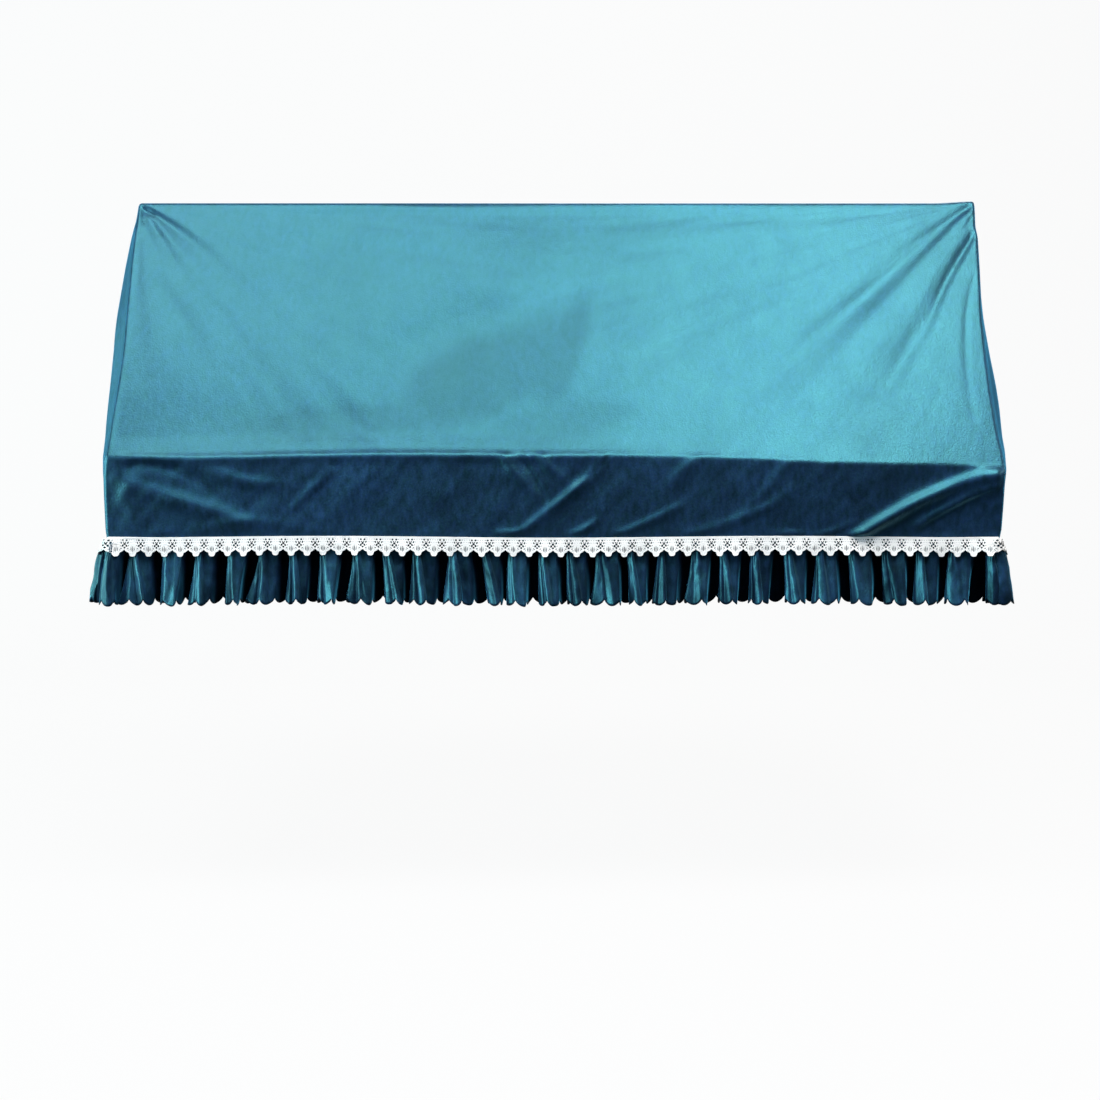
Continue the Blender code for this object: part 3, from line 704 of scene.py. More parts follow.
section = section_rows()
body_x = body_columns()
base_y, base_z, normal_y, normal_z = (np.array([row[k] for row in section])[:, None] for k in range(4))
stretch_of = np.array([row[4] for row in section])[:, None]
grid_x = np.broadcast_to(body_x, (len(section), len(body_x)))
grid_y = np.broadcast_to(base_y, grid_x.shape)
grid_z = np.broadcast_to(base_z, grid_x.shape)
at_front = base_y < FRONT_END
from_seam = SEAM_X - np.abs(grid_x)
back_relief = wave("back", grid_x, grid_z) * rising(Z_TOP - grid_z, BACK_BELOW_TOP)
lift = np.where(at_front, front_relief(grid_x, grid_z), 0.0)
lift = lift + np.where(stretch_of == "back", back_relief, 0.0)
lift = lift + np.where(stretch_of == "top", wave("top", grid_x, grid_y), 0.0)
lift = lift * rising(from_seam, BESIDE_SEAM) - seam_inset(from_seam)
moved = np.where(at_front, key_edge_shift(grid_x, grid_z), 0.0)
pouch = pouch_rise(grid_x, grid_z) * smooth(1 - (base_y - Y_LID_FRONT - POUCH_BEHIND) / POUCH_DEPTH)
shifts = np.where(grid_x < 0, -seam_shift(grid_z, "left"), seam_shift(grid_z, "right"))
shifts = shifts * smooth(1 - from_seam / SHIFT_REACH) * smooth(1 - (base_y - Y_LID_FRONT) / SHIFT_BEHIND)
body_y = base_y + normal_y * lift + slide(moved)
body_z = grid_z + normal_z * lift + moved + pouch
flat_v = np.concatenate([[0.0], np.cumsum(np.hypot(np.diff(base_y[:, 0]), np.diff(base_z[:, 0])))])[:, None]
body_points = np.stack([grid_x + shifts, body_y, body_z], axis=-1)
body_cloth = cloth("velvet_body_panel", body_points, body_x, flat_v, velvet)
on_slope = (stretch_of == "slope") | ((stretch_of == "edge") & (base_y < 0))
# the slope carries painted shade in its darker marks
lay_pile_and_painted_shade(body_cloth, np.where(on_slope, painted_shade_marks(grid_x, grid_z), 0.0))
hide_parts("body_panel")
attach(body_cloth, "root")

# Side panels. Each is a five-sided piece of the same velvet, sewn to the edges of the body panel. Nothing is
# behind them, so they belly out, most just behind the slope's seam.
BULGE_REACH = {"left": 0.034, "right": 0.050}
BULGE_REAR = 0.15
BULGE_FALL = 0.30
SIDE_SHIFT_REACH = 0.20
SIDE_COLUMNS = 64
SIDE_CROWDING = 1.2  # above 1, columns lie closer at the front
# The belly starts over these distances from the back seam and the top seam, and the waves start and rise
BACK_FADE = 0.03
TOP_FADE = 0.014
WAVES_FROM_SEAMS = (0.01, 0.05)
WAVES_FROM_TOP = (0.01, 0.06)
WAVES_FROM_HEM = (0.0, 0.06)
SIDE_BULGES = [
    {"share": 0.00, "left": 0.000, "right": 0.000},
    {"share": 0.03, "left": 0.000, "right": 0.000},
    {"share": 0.10, "left": 0.003, "right": 0.004},
    {"share": 0.24, "left": 0.011, "right": 0.015},
    {"share": 0.40, "left": 0.018, "right": 0.023},
    {"share": 0.60, "left": 0.024, "right": 0.014},
    {"share": 0.80, "left": 0.016, "right": 0.007},
    {"share": 0.93, "left": 0.009, "right": 0.003},
    {"share": 1.00, "left": 0.000, "right": 0.000},
]


def bulge_at(share, side):
    return eased(column(SIDE_BULGES, "share"), column(SIDE_BULGES, side), share, samples=201, averaged=45)


def back_line(z):
    """y of the side panel's back edge, which rounds over into the top."""
    radius = SECTION[4]["radius"]
    above = np.clip(z - (Z_TOP - radius), 0.0, radius)
    return Y_BACK - radius + np.sqrt(radius**2 - above**2)


side_rows = [row for row in section if row[4] not in ("top", "back") and row[0] < 0]
side_y, side_z, side_ny, side_nz = (np.array([row[k] for row in side_rows])[:, None] for k in range(4))


def side_points(side, sign):
    """Points of a side panel, in rows from its front seam to its back seam, inset from the sharp edge."""
    shift = key_edge_shift(np.full(side_z.shape, sign * SEAM_X), side_z)
    z = side_z + shift
    front = side_y + slide(shift)
    back = back_line(z)
    inset = NEAR_SEAM[0]
    y_front = front - side_ny * inset
    z_front = z + pouch_rise(sign * SEAM_X, side_z) - side_nz * inset
    y_back = back - inset
    depth = y_back - y_front
    lead = np.array(NEAR_SEAM)[None, :] - inset
    middle = np.linspace(0.0, 1.0, SIDE_COLUMNS)[None, 1:-1] ** SIDE_CROWDING
    between = y_front + lead[:, -1:] + (depth - 2 * lead[:, -1:]) * middle
    y = np.concatenate([y_front + lead, between, y_back - lead[:, ::-1]], axis=1)
    across = (y - y_front) / depth
    z_row = z_front + (np.minimum(z, Z_TOP - inset) - z_front) * smooth(across * 4)
    held = smooth((back - y) / BACK_FADE) * smooth((Z_TOP - z_row) / TOP_FADE)
    fullness = smooth((y - front) / BULGE_REACH[side])
    fullness = fullness * (1 - (1 - BULGE_REAR) * smooth((y - front - BULGE_REACH[side]) / BULGE_FALL))
    bulge = bulge_at((z - Z_HEM) / (Z_TOP - Z_HEM), side) * fullness * held
    from_sides = np.minimum(y - front, back - y)
    loose = rising(from_sides, WAVES_FROM_SEAMS) * rising(z_row - Z_HEM, WAVES_FROM_HEM)
    loose = loose * rising(Z_TOP - z_row, WAVES_FROM_TOP)
    bulge = bulge + wave("side", y, z_row, sign) * loose
    from_edge = np.minimum(np.minimum((y - front) * np.maximum(1e-6, -side_ny), back - y), Z_TOP - z_row)
    shift_out = seam_shift(side_z, side) * smooth(1 - (y - front) / SIDE_SHIFT_REACH)
    shift_out = shift_out * smooth(1 - (y - Y_LID_FRONT) / SHIFT_BEHIND)
    x = sign * (SEAM_X + bulge + shift_out - seam_inset(np.maximum(from_edge, inset)))
    return np.stack([x, y, z_row], axis=-1)


for side, sign in (("left", -1), ("right", 1)):
    points = side_points(side, sign)
    if side == "left":
        points = points[:, ::-1]  # so that its faces look outwards
    panel = cloth(f"velvet_side_panel_{side}", points, points[..., 1], points[..., 2], velvet)
    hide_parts(f"side_panel_{side}")
    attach(panel, "root")

# Ruffle. A strip of the same velvet, about 2.4 times as long as the hem, is gathered by hand and sewn under
# the hem all along the front and both sides. Its pleats start narrow and open downwards, rolled towards the
# left, and its lower edge is cut in scallops.
RUFFLE_DROP = 0.111
RUFFLE_CORNER = 0.014
RUFFLE_CLOTH = 0.0011
SCALLOP = 0.033  # along the flat edge
SCALLOP_DEPTH = 0.0105
SCALLOP_STEPS = 10
RUFFLE_ROWS = 23
GATHER = 0.0100  # small gathers in the stitching, along the flat edge
GATHER_DEPTH = 0.0020
TUBE_TOP = 0.0032  # half of a pleat's width where it leaves the stitching
LOBE_OFFSET = 1.3  # half widths from a pleat's crest to its lobe
PLEAT_UNEVEN = 0.0016
# How a pleat opens on its way down: the power of the share of the drop, for its place and for its depth
PLACE_POWER = 0.95
TWIN_PLACE_POWER = 1.6
DEPTH_POWER = 1.2
CORNER_DEPTH_POWER = 0.45
CORNER_REACH = 0.02
STEPS_PER_POINT = 24
LOOSE_FROM = 0.5  # share of the drop, above which the gathers hold the strip
RIDGE_LEVEL = 0.0006
SCALLOP_POWER = 0.75
RUFFLE_GAP = 0.0003
# Painted shade inside the folds: how strong, and from and over a distance out; and how flat the pile lies in
# patches
PAINTED_FOLD_SHADE = 2.0
INSIDE_FOLDS = 0.008
INSIDE_FADE = 0.018
LEAN_PATCHES = 1.1
FACES_FRONT = -0.9  # y of the outward direction, below which a place is on the front

# One pleat in plan, from the valley on its left to the next one. Each point lies "by" half widths from the
# pleat's crest or from the twin lobe that opens beside it, or "by" a share of the way to the next pleat. Its
# distance out is given at the stitching ("top") and at the scallops, there for a round pleat ("hem") and for
# one folded over like a knife pleat ("knife"), with what a twin lobe adds.
PLEAT = [
    {"from": "twin", "by": 0.30, "top": -0.0110, "hem": -0.0190, "knife": -0.0190, "twin": 0.0000},
    {"from": "twin", "by": -0.55, "top": -0.0066, "hem": 0.0000, "knife": 0.0000, "twin": 0.0000},
    {"from": "twin", "by": -0.50, "top": -0.0040, "hem": 0.0085, "knife": 0.0075, "twin": 0.0010},
    {"from": "crest", "by": -1.45, "top": -0.0028, "hem": 0.0120, "knife": 0.0105, "twin": 0.0055},
    {"from": "crest", "by": -1.10, "top": -0.0026, "hem": 0.0150, "knife": 0.0138, "twin": -0.0010},
    {"from": "crest", "by": -0.60, "top": -0.0018, "hem": 0.0195, "knife": 0.0188, "twin": 0.0000},
    {"from": "crest", "by": 0.35, "top": -0.0012, "hem": 0.0240, "knife": 0.0224, "twin": 0.0000},
    {"from": "crest", "by": 0.95, "top": -0.0020, "hem": 0.0190, "knife": 0.0236, "twin": 0.0000},
    {"from": "crest", "by": 1.35, "top": -0.0050, "hem": 0.0100, "knife": 0.0243, "twin": 0.0000},
    {"from": "panel", "by": 0.50, "top": -0.0030, "hem": 0.0090, "knife": 0.0262, "twin": 0.0000},
    {"from": "panel", "by": 0.60, "top": -0.0040, "hem": 0.0040, "knife": 0.0120, "twin": 0.0000},
    {"from": "panel", "by": 0.78, "top": -0.0110, "hem": -0.0100, "knife": -0.0140, "twin": 0.0000},
]


def front_pleat(x, foot, twin, half, full):
    """A front pleat in millimetres, as a table row in metres.

    Its crest leaves the stitching at x. Its foot and its twin lobe's foot are shifted from there, and a pleat
    without a twin has None. half is half its width at the foot, and full is how full it is.
    """
    twin = None if twin is None else twin / 1000
    return {"x": x / 1000, "foot": foot / 1000, "twin": twin, "half": half / 1000, "full": full}


FRONT_PLEATS = [
    front_pleat(-713.3, 16, -22, 8, 0.95),
    front_pleat(-657.6, 1, None, 7.1, 1.0),
    front_pleat(-601.8, 4, -15, 7.7, 1.0),
    front_pleat(-547.4, 3, -8, 6.5, 1.0),
    front_pleat(-491.7, -4, -28, 9.4, 0.95),
    front_pleat(-442.3, 6, -9, 7.7, 1.0),
    front_pleat(-390.1, 7, -8, 6.5, 1.0),
    front_pleat(-333.7, 9, -13, 9.4, 0.95),
    front_pleat(-285.2, 21, 4, 7.1, 0.95),
    front_pleat(-232.7, 11, -8, 7.7, 1.05),
    front_pleat(-170.7, 11, -11, 7.7, 1.05),
    front_pleat(-119.5, 22, None, 7.7, 0.95),
    front_pleat(-69.7, 9, -5, 7.7, 1.0),
    front_pleat(-18.5, 12, -2, 6.5, 0.95),
    front_pleat(28.6, 14, 0, 6.5, 1.0),
    front_pleat(81.1, 20, -11, 9.4, 0.9),
    front_pleat(131, 12, None, 7.1, 1.0),
    front_pleat(186.7, -1, -13, 7.1, 1.05),
    front_pleat(244.2, 5, -15, 8.3, 1.0),
    front_pleat(289.9, 8, -6, 6.5, 0.95),
    front_pleat(344.7, 4, -9, 7.7, 1.0),
    front_pleat(399.7, 14, 0, 6.5, 1.05),
    front_pleat(454.6, 6, -8, 8.3, 0.95),
    front_pleat(506.3, 17, None, 8.3, 1.0),
    front_pleat(567.1, 19, 1, 7.1, 1.05),
    front_pleat(626.6, 3, None, 7.7, 1.0),
    front_pleat(682.2, 4, None, 9.4, 0.85),
    front_pleat(743, 8, None, 6.5, 0.8),
]
SIDE_PLEATS = 11
SIDE_PITCH_SPREAD = 0.006
# Ranges of chance for side pleats, and for how far front pleats fan out and fold over
SIDE_FOOT = (-0.002, 0.014)
SIDE_TWIN_APART = (0.011, 0.020)
SIDE_TWIN_SHARE = 0.65
SIDE_HALF = (0.0062, 0.0088)
SIDE_FULL = 0.95
SIDE_FOLD = 0.3  # also of the corner pleats
FRONT_FAN = (0.58, 1.0)
FRONT_FOLD = (0.0, 1.6)
RUFFLE_SEED = 11
HEM_WAVE = 0.0015
HEM_WAVE_LENGTH = 0.78
HEM_WAVE_START = 0.20
HEM_WAVE_FADE = 0.10


def hem_wave(x):
    """Rise of the hem along the front, level again at the corner seams."""
    level = smooth((SEAM_X - RUFFLE_CORNER - np.abs(x)) / HEM_WAVE_FADE)
    return HEM_WAVE * level * np.sin(2 * np.pi * (x - HEM_WAVE_START) / HEM_WAVE_LENGTH)


side_run = Y_BACK - Y_FRONT - RUFFLE_CORNER
corner_run = math.pi / 2 * RUFFLE_CORNER
front_run = 2 * (SEAM_X - RUFFLE_CORNER)
hem_length = 2 * side_run + 2 * corner_run + front_run


def hem_path(along):
    """(x, y, outward x, outward y) at distances along the hem, from the left back corner to the right one."""
    turn = RUFFLE_CORNER
    left_turn = np.clip((along - side_run) / turn, 0.0, np.pi / 2)
    right_turn = np.clip((along - side_run - corner_run - front_run) / turn, 0.0, np.pi / 2)
    angle = np.pi + left_turn + right_turn
    out_x, out_y = np.cos(angle), np.sin(angle)
    front = np.clip(along - side_run - corner_run, 0.0, front_run)
    x = -SEAM_X + turn + front + turn * out_x
    y_left = np.where(along < side_run, Y_BACK - along, Y_FRONT + turn)
    y_right = Y_FRONT + turn + np.maximum(0.0, along - (hem_length - side_run))
    y = np.where(along < hem_length / 2, y_left, y_right) + turn * out_y
    return x, y, out_x, out_y


chance = random.Random(RUFFLE_SEED)


def side_pleats(start, end):
    """Crests of a side's pleats, each a little off an even pitch."""
    pitch = (end - start) / SIDE_PLEATS
    pleats = []
    for k in range(SIDE_PLEATS):
        at = start + (k + 0.4) * pitch + chance.uniform(-SIDE_PITCH_SPREAD, SIDE_PITCH_SPREAD)
        foot, apart = chance.uniform(*SIDE_FOOT), chance.uniform(*SIDE_TWIN_APART)
        twin = foot - apart if chance.random() < SIDE_TWIN_SHARE else None
        half = chance.uniform(*SIDE_HALF)
        pleats.append({"at": at, "foot": foot, "twin": twin, "half": half, "full": SIDE_FULL})
    return pleats


corner_left = side_run + corner_run / 2
corner_right = hem_length - corner_left
pleats = side_pleats(0.0, corner_left - 0.040)
pleats.append({"at": corner_left - 0.014, "foot": -0.003, "twin": None, "half": 0.0060, "full": 1.58})
pleats.append({"at": corner_left + 0.008, "foot": -0.002, "twin": None, "half": 0.0075, "full": 1.35})
for row in FRONT_PLEATS:
    fan, knife = chance.uniform(*FRONT_FAN), min(1.0, chance.uniform(*FRONT_FOLD))
    pleats.append({**row, "at": hem_length / 2 + row["x"], "fan": fan, "knife": knife})
pleats.append({"at": corner_right, "foot": 0.004, "twin": None, "half": 0.0070, "full": 1.35})
pleats += side_pleats(corner_right + 0.018, hem_length)

# The plan points of all pleats in one line, at the stitching ("top") and at the scallops ("hem")
plan = {"top_along": [], "hem_along": [], "top_out": [], "hem_out": [], "late": [], "flare": []}
for pleat in pleats:
    pleat["crest"] = pleat["at"] + pleat["foot"]
    pleat["lobe"] = pleat["crest"] - LOBE_OFFSET * pleat["half"]
    if pleat["twin"] is not None:
        pleat["lobe"] = pleat["at"] + pleat["twin"]
past_end = {"at": hem_length + 0.02, "lobe": hem_length + 0.015}
for pleat, after in zip(pleats, [*pleats[1:], past_end]):
    has_twin = pleat["twin"] is not None
    from_corner = abs(abs(pleat["at"] - hem_length / 2) - (corner_right - hem_length / 2))
    for row in PLEAT:
        on_twin, on_panel = row["from"] == "twin", row["from"] == "panel"
        start = pleat["at"] - LOBE_OFFSET * TUBE_TOP if on_twin else pleat["at"]
        foot = pleat["lobe"] if on_twin else pleat["crest"]
        top_step, hem_step = TUBE_TOP, pleat["half"]
        if on_panel:
            top_step = after["at"] - LOBE_OFFSET * TUBE_TOP - pleat["at"]
            hem_step = (after["lobe"] - pleat["crest"]) * pleat.get("fan", 1.0)
        hem = row["hem"] + (row["knife"] - row["hem"]) * pleat.get("knife", SIDE_FOLD)
        hem += row["twin"] if has_twin else 0.0
        spread = (hem - row["top"]) * pleat["full"] + chance.uniform(-PLEAT_UNEVEN, PLEAT_UNEVEN)
        plan["top_along"].append(start + row["by"] * top_step)
        plan["hem_along"].append(foot + row["by"] * hem_step)
        plan["top_out"].append(row["top"])
        plan["hem_out"].append(row["top"] + spread)
        plan["late"].append(TWIN_PLACE_POWER if on_twin and has_twin else PLACE_POWER)
        plan["flare"].append(CORNER_DEPTH_POWER if from_corner < CORNER_REACH else DEPTH_POWER)
plan = {name: np.array(values) for name, values in plan.items()}


def curve_through(values, at):
    """Smooth curve through evenly spaced values, read at positions counted in values."""
    low = np.clip(np.floor(at).astype(int), 0, len(values) - 2)
    t = at - low
    a, b, c, d = (values[np.clip(low + k, 0, len(values) - 1)] for k in (-1, 0, 1, 2))
    return b + 0.5 * t * (c - a + t * (2 * a - 5 * b + 4 * c - d + t * (3 * (b - c) + d - a)))


def pleat_line(at, share):
    """Distances along and out of the strip at positions counted in plan points, at a share of its drop."""
    along = plan["top_along"] + (plan["hem_along"] - plan["top_along"]) * share ** plan["late"]
    out = plan["top_out"] + (plan["hem_out"] - plan["top_out"]) * share ** plan["flare"]
    along = np.clip(along, 0.001, hem_length - 0.001)
    return curve_through(along, at), curve_through(out, at)


plan_points = len(plan["top_along"])
counts = np.linspace(0.0, plan_points - 1.0, plan_points * STEPS_PER_POINT)
line_along, line_out = pleat_line(counts, 1.0)
line_x, line_y, line_ox, line_oy = hem_path(line_along)
line_x, line_y = line_x + line_ox * line_out, line_y + line_oy * line_out
flat_length = np.concatenate([[0.0], np.cumsum(np.hypot(np.diff(line_x), np.diff(line_y)))])
scallops = round(flat_length[-1] / SCALLOP)
flat = np.linspace(0.0, flat_length[-1], scallops * SCALLOP_STEPS + 1)
column_counts = np.interp(flat, flat_length, counts)


def ruffle_row(share):
    """Points of the strip at a share of its drop, and at each of them its painted shade inside the folds and
    its flat pile in patches.
    """
    along, out = pleat_line(column_counts, share)
    level = np.full(flat.shape, share)
    loose = smooth(share / LOOSE_FROM)
    wander = 2 * np.pi * flat / GATHER + 2.2 * np.sin(flat * 31.0) + 1.3 * np.sin(flat * 83.0)
    out = out + GATHER_DEPTH * np.sin(wander) * (1 - loose)
    out = out + loose * wave("ruffle_out", flat, level)
    out = out + loose * (RIDGE_LEVEL - np.abs(wave("ruffle_ridge", flat, level)))
    along = along + loose * wave("ruffle_sway", flat, level)
    x, y, out_x, out_y = hem_path(along)
    lobe = np.abs(np.sin(np.pi * flat / SCALLOP * (scallops * SCALLOP / flat_length[-1])))
    cut = SCALLOP_DEPTH * (1 - lobe**SCALLOP_POWER)
    z = Z_HEM - RUFFLE_GAP - share * (RUFFLE_DROP - cut) + hem_wave(x) * (out_y < FACES_FRONT)
    # the pile lies flat in clouded patches, and painted shade darkens the insides of the folds most of all
    inside = PAINTED_FOLD_SHADE * smooth((INSIDE_FOLDS - out) / INSIDE_FADE)
    patches = LEAN_PATCHES * smooth(0.5 + wave("ruffle_pile", flat, level * RUFFLE_DROP))
    return np.stack([x + out_x * out, y + out_y * out, z], axis=-1), np.maximum(inside, patches)


ruffle_rows = [ruffle_row(1 - j / RUFFLE_ROWS) for j in range(RUFFLE_ROWS + 1)]
ruffle_points, ruffle_shade_and_pile = (np.array(part) for part in zip(*ruffle_rows))
ruffle_v = (np.arange(RUFFLE_ROWS + 1) / RUFFLE_ROWS * RUFFLE_DROP)[:, None]
ruffle = cloth("velvet_ruffle", ruffle_points, flat, ruffle_v, velvet, RUFFLE_CLOTH)
# the velvet reads the ruffle's painted shade inside the folds and its flat-pile patches
lay_pile_and_painted_shade(ruffle, ruffle_shade_and_pile)
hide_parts("ruffle_left", "ruffle_front", "ruffle_right")
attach(ruffle, "root")

# Lace. One thick cotton band, worked as a row of petals, is stitched over the seam of hem and ruffle round
# the front and both sides, and lies on the ruffle. Its openings are real ones: pairs of eyelets under the
# heading, four round each valley, and the slits of the leaves; heavy raised threads edge the petals.
LACE_OVERLAP = 0.004
LACE_LEAN = math.atan(0.25)
LACE_THICKNESS = 0.0009
LACE_CELLS = 102
LACE_DROP = 0.033
CORNER_PUSH = 0.0110  # the full corner pleats hold the band out
CORNER_PUSH_REACH = 0.028
LACE_LENGTH = 2.76
LACE_GAP = 0.0005
LACE_CURLS = (0.0014, 0.0011)
LEAN_MEAN = 0.80
LEAN_VARIES = 0.16
# Just below its top edge the band goes round the corner seams as flat as it can
FLAT_AT_CORNER = (0.004, 0.010)
LACE_EDGE = 0.00012  # its edges are rounded off this much
THREAD_RADIUS = 0.00042
THREAD_ABOVE = 0.0004  # the edge's thread lies this far above the edge
HEADING_THREADS = (0.9, 2.2)  # millimetres below the top edge
HOLE_CORNERS = 7
lace_pitch = LACE_LENGTH / LACE_CELLS

# Half of a petal's lower edge, in millimetres from the petal's middle line and down from the top edge
PETAL_EDGE = [
    (13.55, 21.3),
    (12.30, 22.8),
    (10.20, 24.6),
    (8.00, 25.6),
    (6.30, 26.4),
    (5.40, 28.6),
    (4.70, 31.0),
    (3.10, 32.7),
    (1.10, 33.0),
]
# Openings of one petal, in millimetres: x, down, wide, high, and turn in degrees; those off the middle line
# come in pairs
OPENINGS = [
    (10.35, 5.3, 4.2, 3.5, 0),
    (6.20, 5.0, 2.2, 1.8, 0),
    (2.10, 5.0, 1.7, 1.4, 0),
    (11.90, 8.9, 2.6, 2.6, 0),
    (8.00, 9.6, 3.0, 4.6, 28),
    (4.40, 9.4, 1.1, 2.2, 14),
    (1.60, 9.2, 0.9, 1.8, 4),
    (10.35, 14.8, 4.5, 4.0, 45),
    (6.60, 14.4, 1.6, 2.6, 40),
    (8.10, 19.6, 1.8, 4.2, 52),
    (6.50, 22.0, 1.4, 3.4, 24),
    (2.60, 20.3, 1.8, 9.2, -6),
    (0.00, 20.6, 1.9, 12.0, 0),
]
# The two openings on a valley's own line are cut half in one petal and half in the next
VALLEY_OPENINGS = [{"down": 11.7, "wide": 4.8, "high": 4.2}, {"down": 17.9, "wide": 4.0, "high": 3.8}]
# Raised threads of one petal: the ring round its eye, its leaves and its rib, as arcs in millimetres and
# degrees: x, down, half width, half height, start, end and turn
THREADS = [
    (0.0, 20.6, 4.7, 7.3, 0, 360, 0),
    (6.9, 19.2, 3.0, 4.4, 0, 360, 42),
    (-6.9, 19.2, 3.0, 4.4, 0, 360, -42),
    (0.0, 17.6, 10.0, 6.4, 25, 155, 0),
]


def oval(x, down, half_wide, half_high, turn, angles):
    """Points of an oval at angles in degrees, from millimetres to metres, with down as minus y."""
    spin = math.radians(turn)
    points = []
    for angle in angles:
        a, b = half_wide * math.cos(math.radians(angle)), half_high * math.sin(math.radians(angle))
        across = x + a * math.cos(spin) - b * math.sin(spin)
        up = -down + a * math.sin(spin) + b * math.cos(spin)
        points.append((across / 1000, up / 1000))
    return points


def add_line(curve, points, closed):
    spline = curve.splines.new("POLY")
    spline.points.add(len(points) - 1)
    for point, (x, y) in zip(spline.points, points):
        point.co = (x, y, 0.0, 1.0)
    spline.use_cyclic_u = closed


half_pitch = lace_pitch / 2
scale = half_pitch / (PETAL_EDGE[0][0] / 1000)
ground = bpy.data.curves.new("lace_ground", "CURVE")
ground.dimensions, ground.fill_mode = "2D", "BOTH"
ground.extrude = LACE_THICKNESS / 2 - LACE_EDGE
ground.bevel_depth, ground.bevel_resolution = LACE_EDGE, 0
edge_right = [(x / 1000 * scale, -down / 1000) for x, down in PETAL_EDGE]
edge_left = [(-x, y) for x, y in reversed(edge_right)]


def half_hole(sign, row):
    """The notch that a valley opening leaves in a petal's side, from top to bottom."""
    points = []
    for k in range(5):
        angle = math.pi * k / 4
        x = half_pitch - row["wide"] / 2000 * math.sin(angle)
        points.append((sign * x, (-row["down"] + row["high"] / 2 * math.cos(angle)) / 1000))
    return points


side_right = [point for row in VALLEY_OPENINGS for point in half_hole(1, row)]
side_left = [point for row in VALLEY_OPENINGS for point in half_hole(-1, row)]
corner_right_top, corner_left_top = (half_pitch, 0.0), (-half_pitch, 0.0)
sides = side_right + edge_right + edge_left + side_left[::-1]
add_line(ground, [corner_right_top, *sides, corner_left_top], True)
for x, down, wide, high, turn in OPENINGS:
    for sign in (1, -1) if x else (1,):
        angles = [360 * k / HOLE_CORNERS for k in range(HOLE_CORNERS)]
        add_line(ground, oval(sign * x * scale, down, wide / 2, high / 2, sign * turn, angles), True)
ground_object = add("lace_ground", ground)

threads = bpy.data.curves.new("lace_threads", "CURVE")
threads.dimensions = "3D"
threads.bevel_depth, threads.bevel_resolution = THREAD_RADIUS, 0
add_line(threads, [(x * 0.975, y + THREAD_ABOVE) for x, y in edge_right + edge_left], False)
for down in HEADING_THREADS:
    add_line(threads, [(-half_pitch, -down / 1000), (half_pitch, -down / 1000)], False)
for x, down, half_wide, half_high, start, end, turn in THREADS:
    closed = end - start == 360
    count = 12 if closed else 7
    angles = [start + (end - start) * k / (count if closed else count - 1) for k in range(count)]
    add_line(threads, oval(x, down, half_wide, half_high, turn, angles), closed)
threads_object = add("lace_threads", threads)
bpy.context.view_layer.update()
petals = {}
for part, raised in ((ground_object, 0.0), (threads_object, LACE_THICKNESS / 2)):
    shapes = bpy.context.evaluated_depsgraph_get()
    petal_mesh = bpy.data.meshes.new_from_object(part.evaluated_get(shapes))
    petal = bmesh.new()
    petal.from_mesh(petal_mesh)
    bmesh.ops.remove_doubles(petal, verts=petal.verts, dist=1e-6)
    bmesh.ops.recalc_face_normals(petal, faces=petal.faces)
    bmesh.ops.translate(petal, verts=petal.verts, vec=(0.0, 0.0, raised))
    petal.to_mesh(petal_mesh)
    petal.free()
    name = part.name
    bpy.data.objects.remove(part, do_unlink=True)
    petals[name] = add(f"{name}_petal", petal_mesh)

# Guipure lace: bleached cotton thread stitched so densely that it makes its own ground. It scatters light
# softly without gloss, and its stitches show as a fine grain of about half a millimetre.
STITCH = 0.0006
SOIL_SIZE = 1 / 45
lace_white, lace_tree, lace_shader = surface("bleached_cotton_guipure")
lace_place = node(lace_tree, "ShaderNodeTexCoord").outputs["Object"]
stitches = speckle(lace_tree, lace_place, STITCH, 2.0)["Fac"]
soil = speckle(lace_tree, lace_place, SOIL_SIZE, 1.0)["Fac"]
whites = mixed(lace_tree, soil, linear("#e3e1de"), linear("#f2f0ed"))
stitching = [("Height", stitches), ("Strength", 0.6), ("Distance", 0.0003)]
bumpy = node(lace_tree, "ShaderNodeBump", stitching).outputs["Normal"]
fill(lace_tree, lace_shader, [("Base Color", whites), ("Roughness", 0.85)])
fill(lace_tree, lace_shader, [("Specular IOR Level", 0.25), ("Normal", bumpy)])

lace_row = bpy.data.node_groups.new("row_of_lace_petals", "GeometryNodeTree")
lace_row.interface.new_socket("Geometry", in_out="OUTPUT", socket_type="NodeSocketGeometry")
for name, kind in (("Petal", "Object"), ("Count", "Int"), ("Pitch", "Float"), ("Finish", "Material")):
    lace_row.interface.new_socket(name, in_out="INPUT", socket_type=f"NodeSocket{kind}")
given = node(lace_row, "NodeGroupInput").outputs
step = node(lace_row, "ShaderNodeCombineXYZ", [("X", given["Pitch"])])
line = node(lace_row, "GeometryNodeMeshLine", [("Count", given["Count"]), ("Offset", step.outputs[0])])
petal_in = node(lace_row, "GeometryNodeObjectInfo", [("Object", given["Petal"])])
uneven = [("Min", (1.0, 0.975, 0.9)), ("Max", (1.0, 1.02, 1.25)), ("Seed", 5)]
size = node(lace_row, "FunctionNodeRandomValue", uneven, data_type="FLOAT_VECTOR")
laying = [("Points", line.outputs[0]), ("Instance", petal_in.outputs["Geometry"]), ("Scale", size.outputs[0])]
placed = node(lace_row, "GeometryNodeInstanceOnPoints", laying)
real = node(lace_row, "GeometryNodeRealizeInstances", [("Geometry", placed.outputs[0])])
finishing = [("Geometry", real.outputs[0]), ("Material", given["Finish"])]
finished = node(lace_row, "GeometryNodeSetMaterial", finishing)
node(lace_row, "NodeGroupOutput", [("Geometry", finished.outputs[0])])


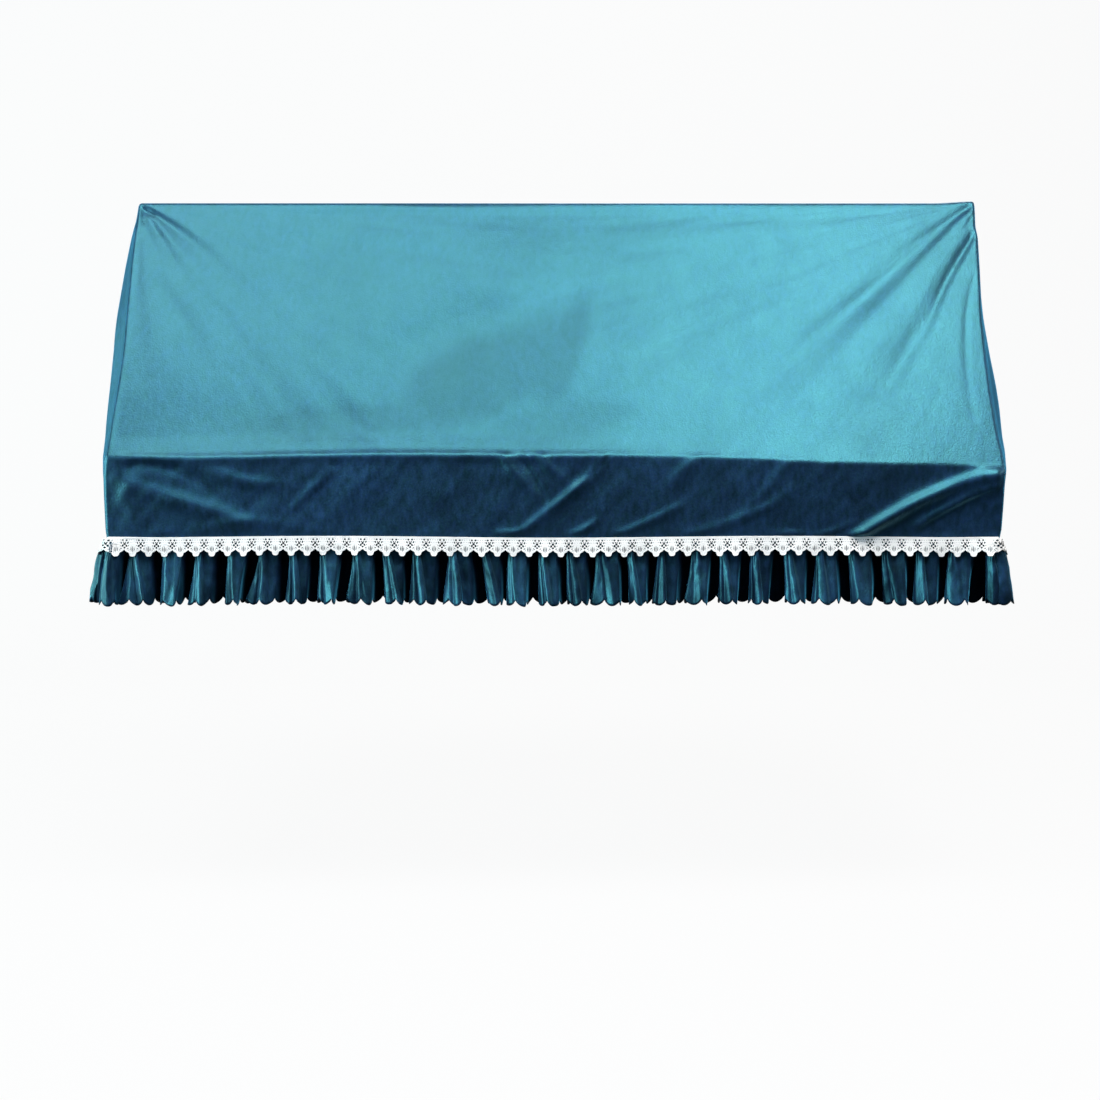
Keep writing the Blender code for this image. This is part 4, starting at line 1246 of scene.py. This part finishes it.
def lay_along_hem(mesh):
    """Bends a flat row of petals round the hem: x becomes the way round, y the way down, z the way out."""
    points = np.empty(len(mesh.vertices) * 3)
    mesh.vertices.foreach_get("co", points)
    points = points.reshape(-1, 3)
    along = (points[:, 0] + half_pitch) / (LACE_CELLS * lace_pitch) * hem_length
    down, away = -points[:, 1], points[:, 2]
    lean = LACE_LEAN * (LEAN_MEAN + LEAN_VARIES * np.sin(along * 17.0) * np.sin(along * 41.0))
    curl = LACE_CURLS[0] * np.sin(along * 61.0) + LACE_CURLS[1] * np.sin(along * 23.0 + 1.0)
    curl = curl * (down / LACE_DROP) ** 2
    out = LACE_GAP + LACE_THICKNESS / 2 + np.sin(lean) * down + curl + np.cos(lean) * away
    x, y, out_x, out_y = hem_path(along)
    at_corner = np.abs(2 * out_x * out_y) * (1 - rising(down, FLAT_AT_CORNER))
    out = out + (RUFFLE_CORNER - SEAM_ROUND) * (math.sqrt(2) - 1) * at_corner
    from_corner = np.minimum(np.abs(along - corner_left + 0.003), np.abs(along - corner_right))
    pushed = np.exp(-((from_corner / CORNER_PUSH_REACH) ** 2))
    out = out + CORNER_PUSH * (np.maximum(down, 0.0) / LACE_DROP) ** 0.45 * pushed
    z = Z_HEM + LACE_OVERLAP - np.cos(lean) * down + np.sin(lean) * away
    z = z + hem_wave(x) * (out_y < FACES_FRONT)
    mesh.vertices.foreach_set("co", np.stack([x + out_x * out, y + out_y * out, z], axis=-1).ravel())
    mesh.update()


for name, petal_object in petals.items():
    row_object = add(f"{name}_row", bpy.data.meshes.new(name))
    work = row_object.modifiers.new("petals", "NODES")
    work.node_group = lace_row
    settings = {"Petal": petal_object, "Count": LACE_CELLS, "Pitch": lace_pitch, "Finish": lace_white}
    for item in lace_row.interface.items_tree:
        if item.in_out == "INPUT":
            work[item.identifier] = settings[item.name]
    bpy.context.view_layer.update()
    shapes = bpy.context.evaluated_depsgraph_get()
    lace_mesh = bpy.data.meshes.new_from_object(row_object.evaluated_get(shapes))
    row_object.modifiers.clear()
    row_object.data = lace_mesh
    bpy.data.objects.remove(petal_object, do_unlink=True)
    lay_along_hem(lace_mesh)
    row_object.name = name
    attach(row_object, "root")
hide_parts("lace_left", "lace_front", "lace_right")

# The visual model's box.
low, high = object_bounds()
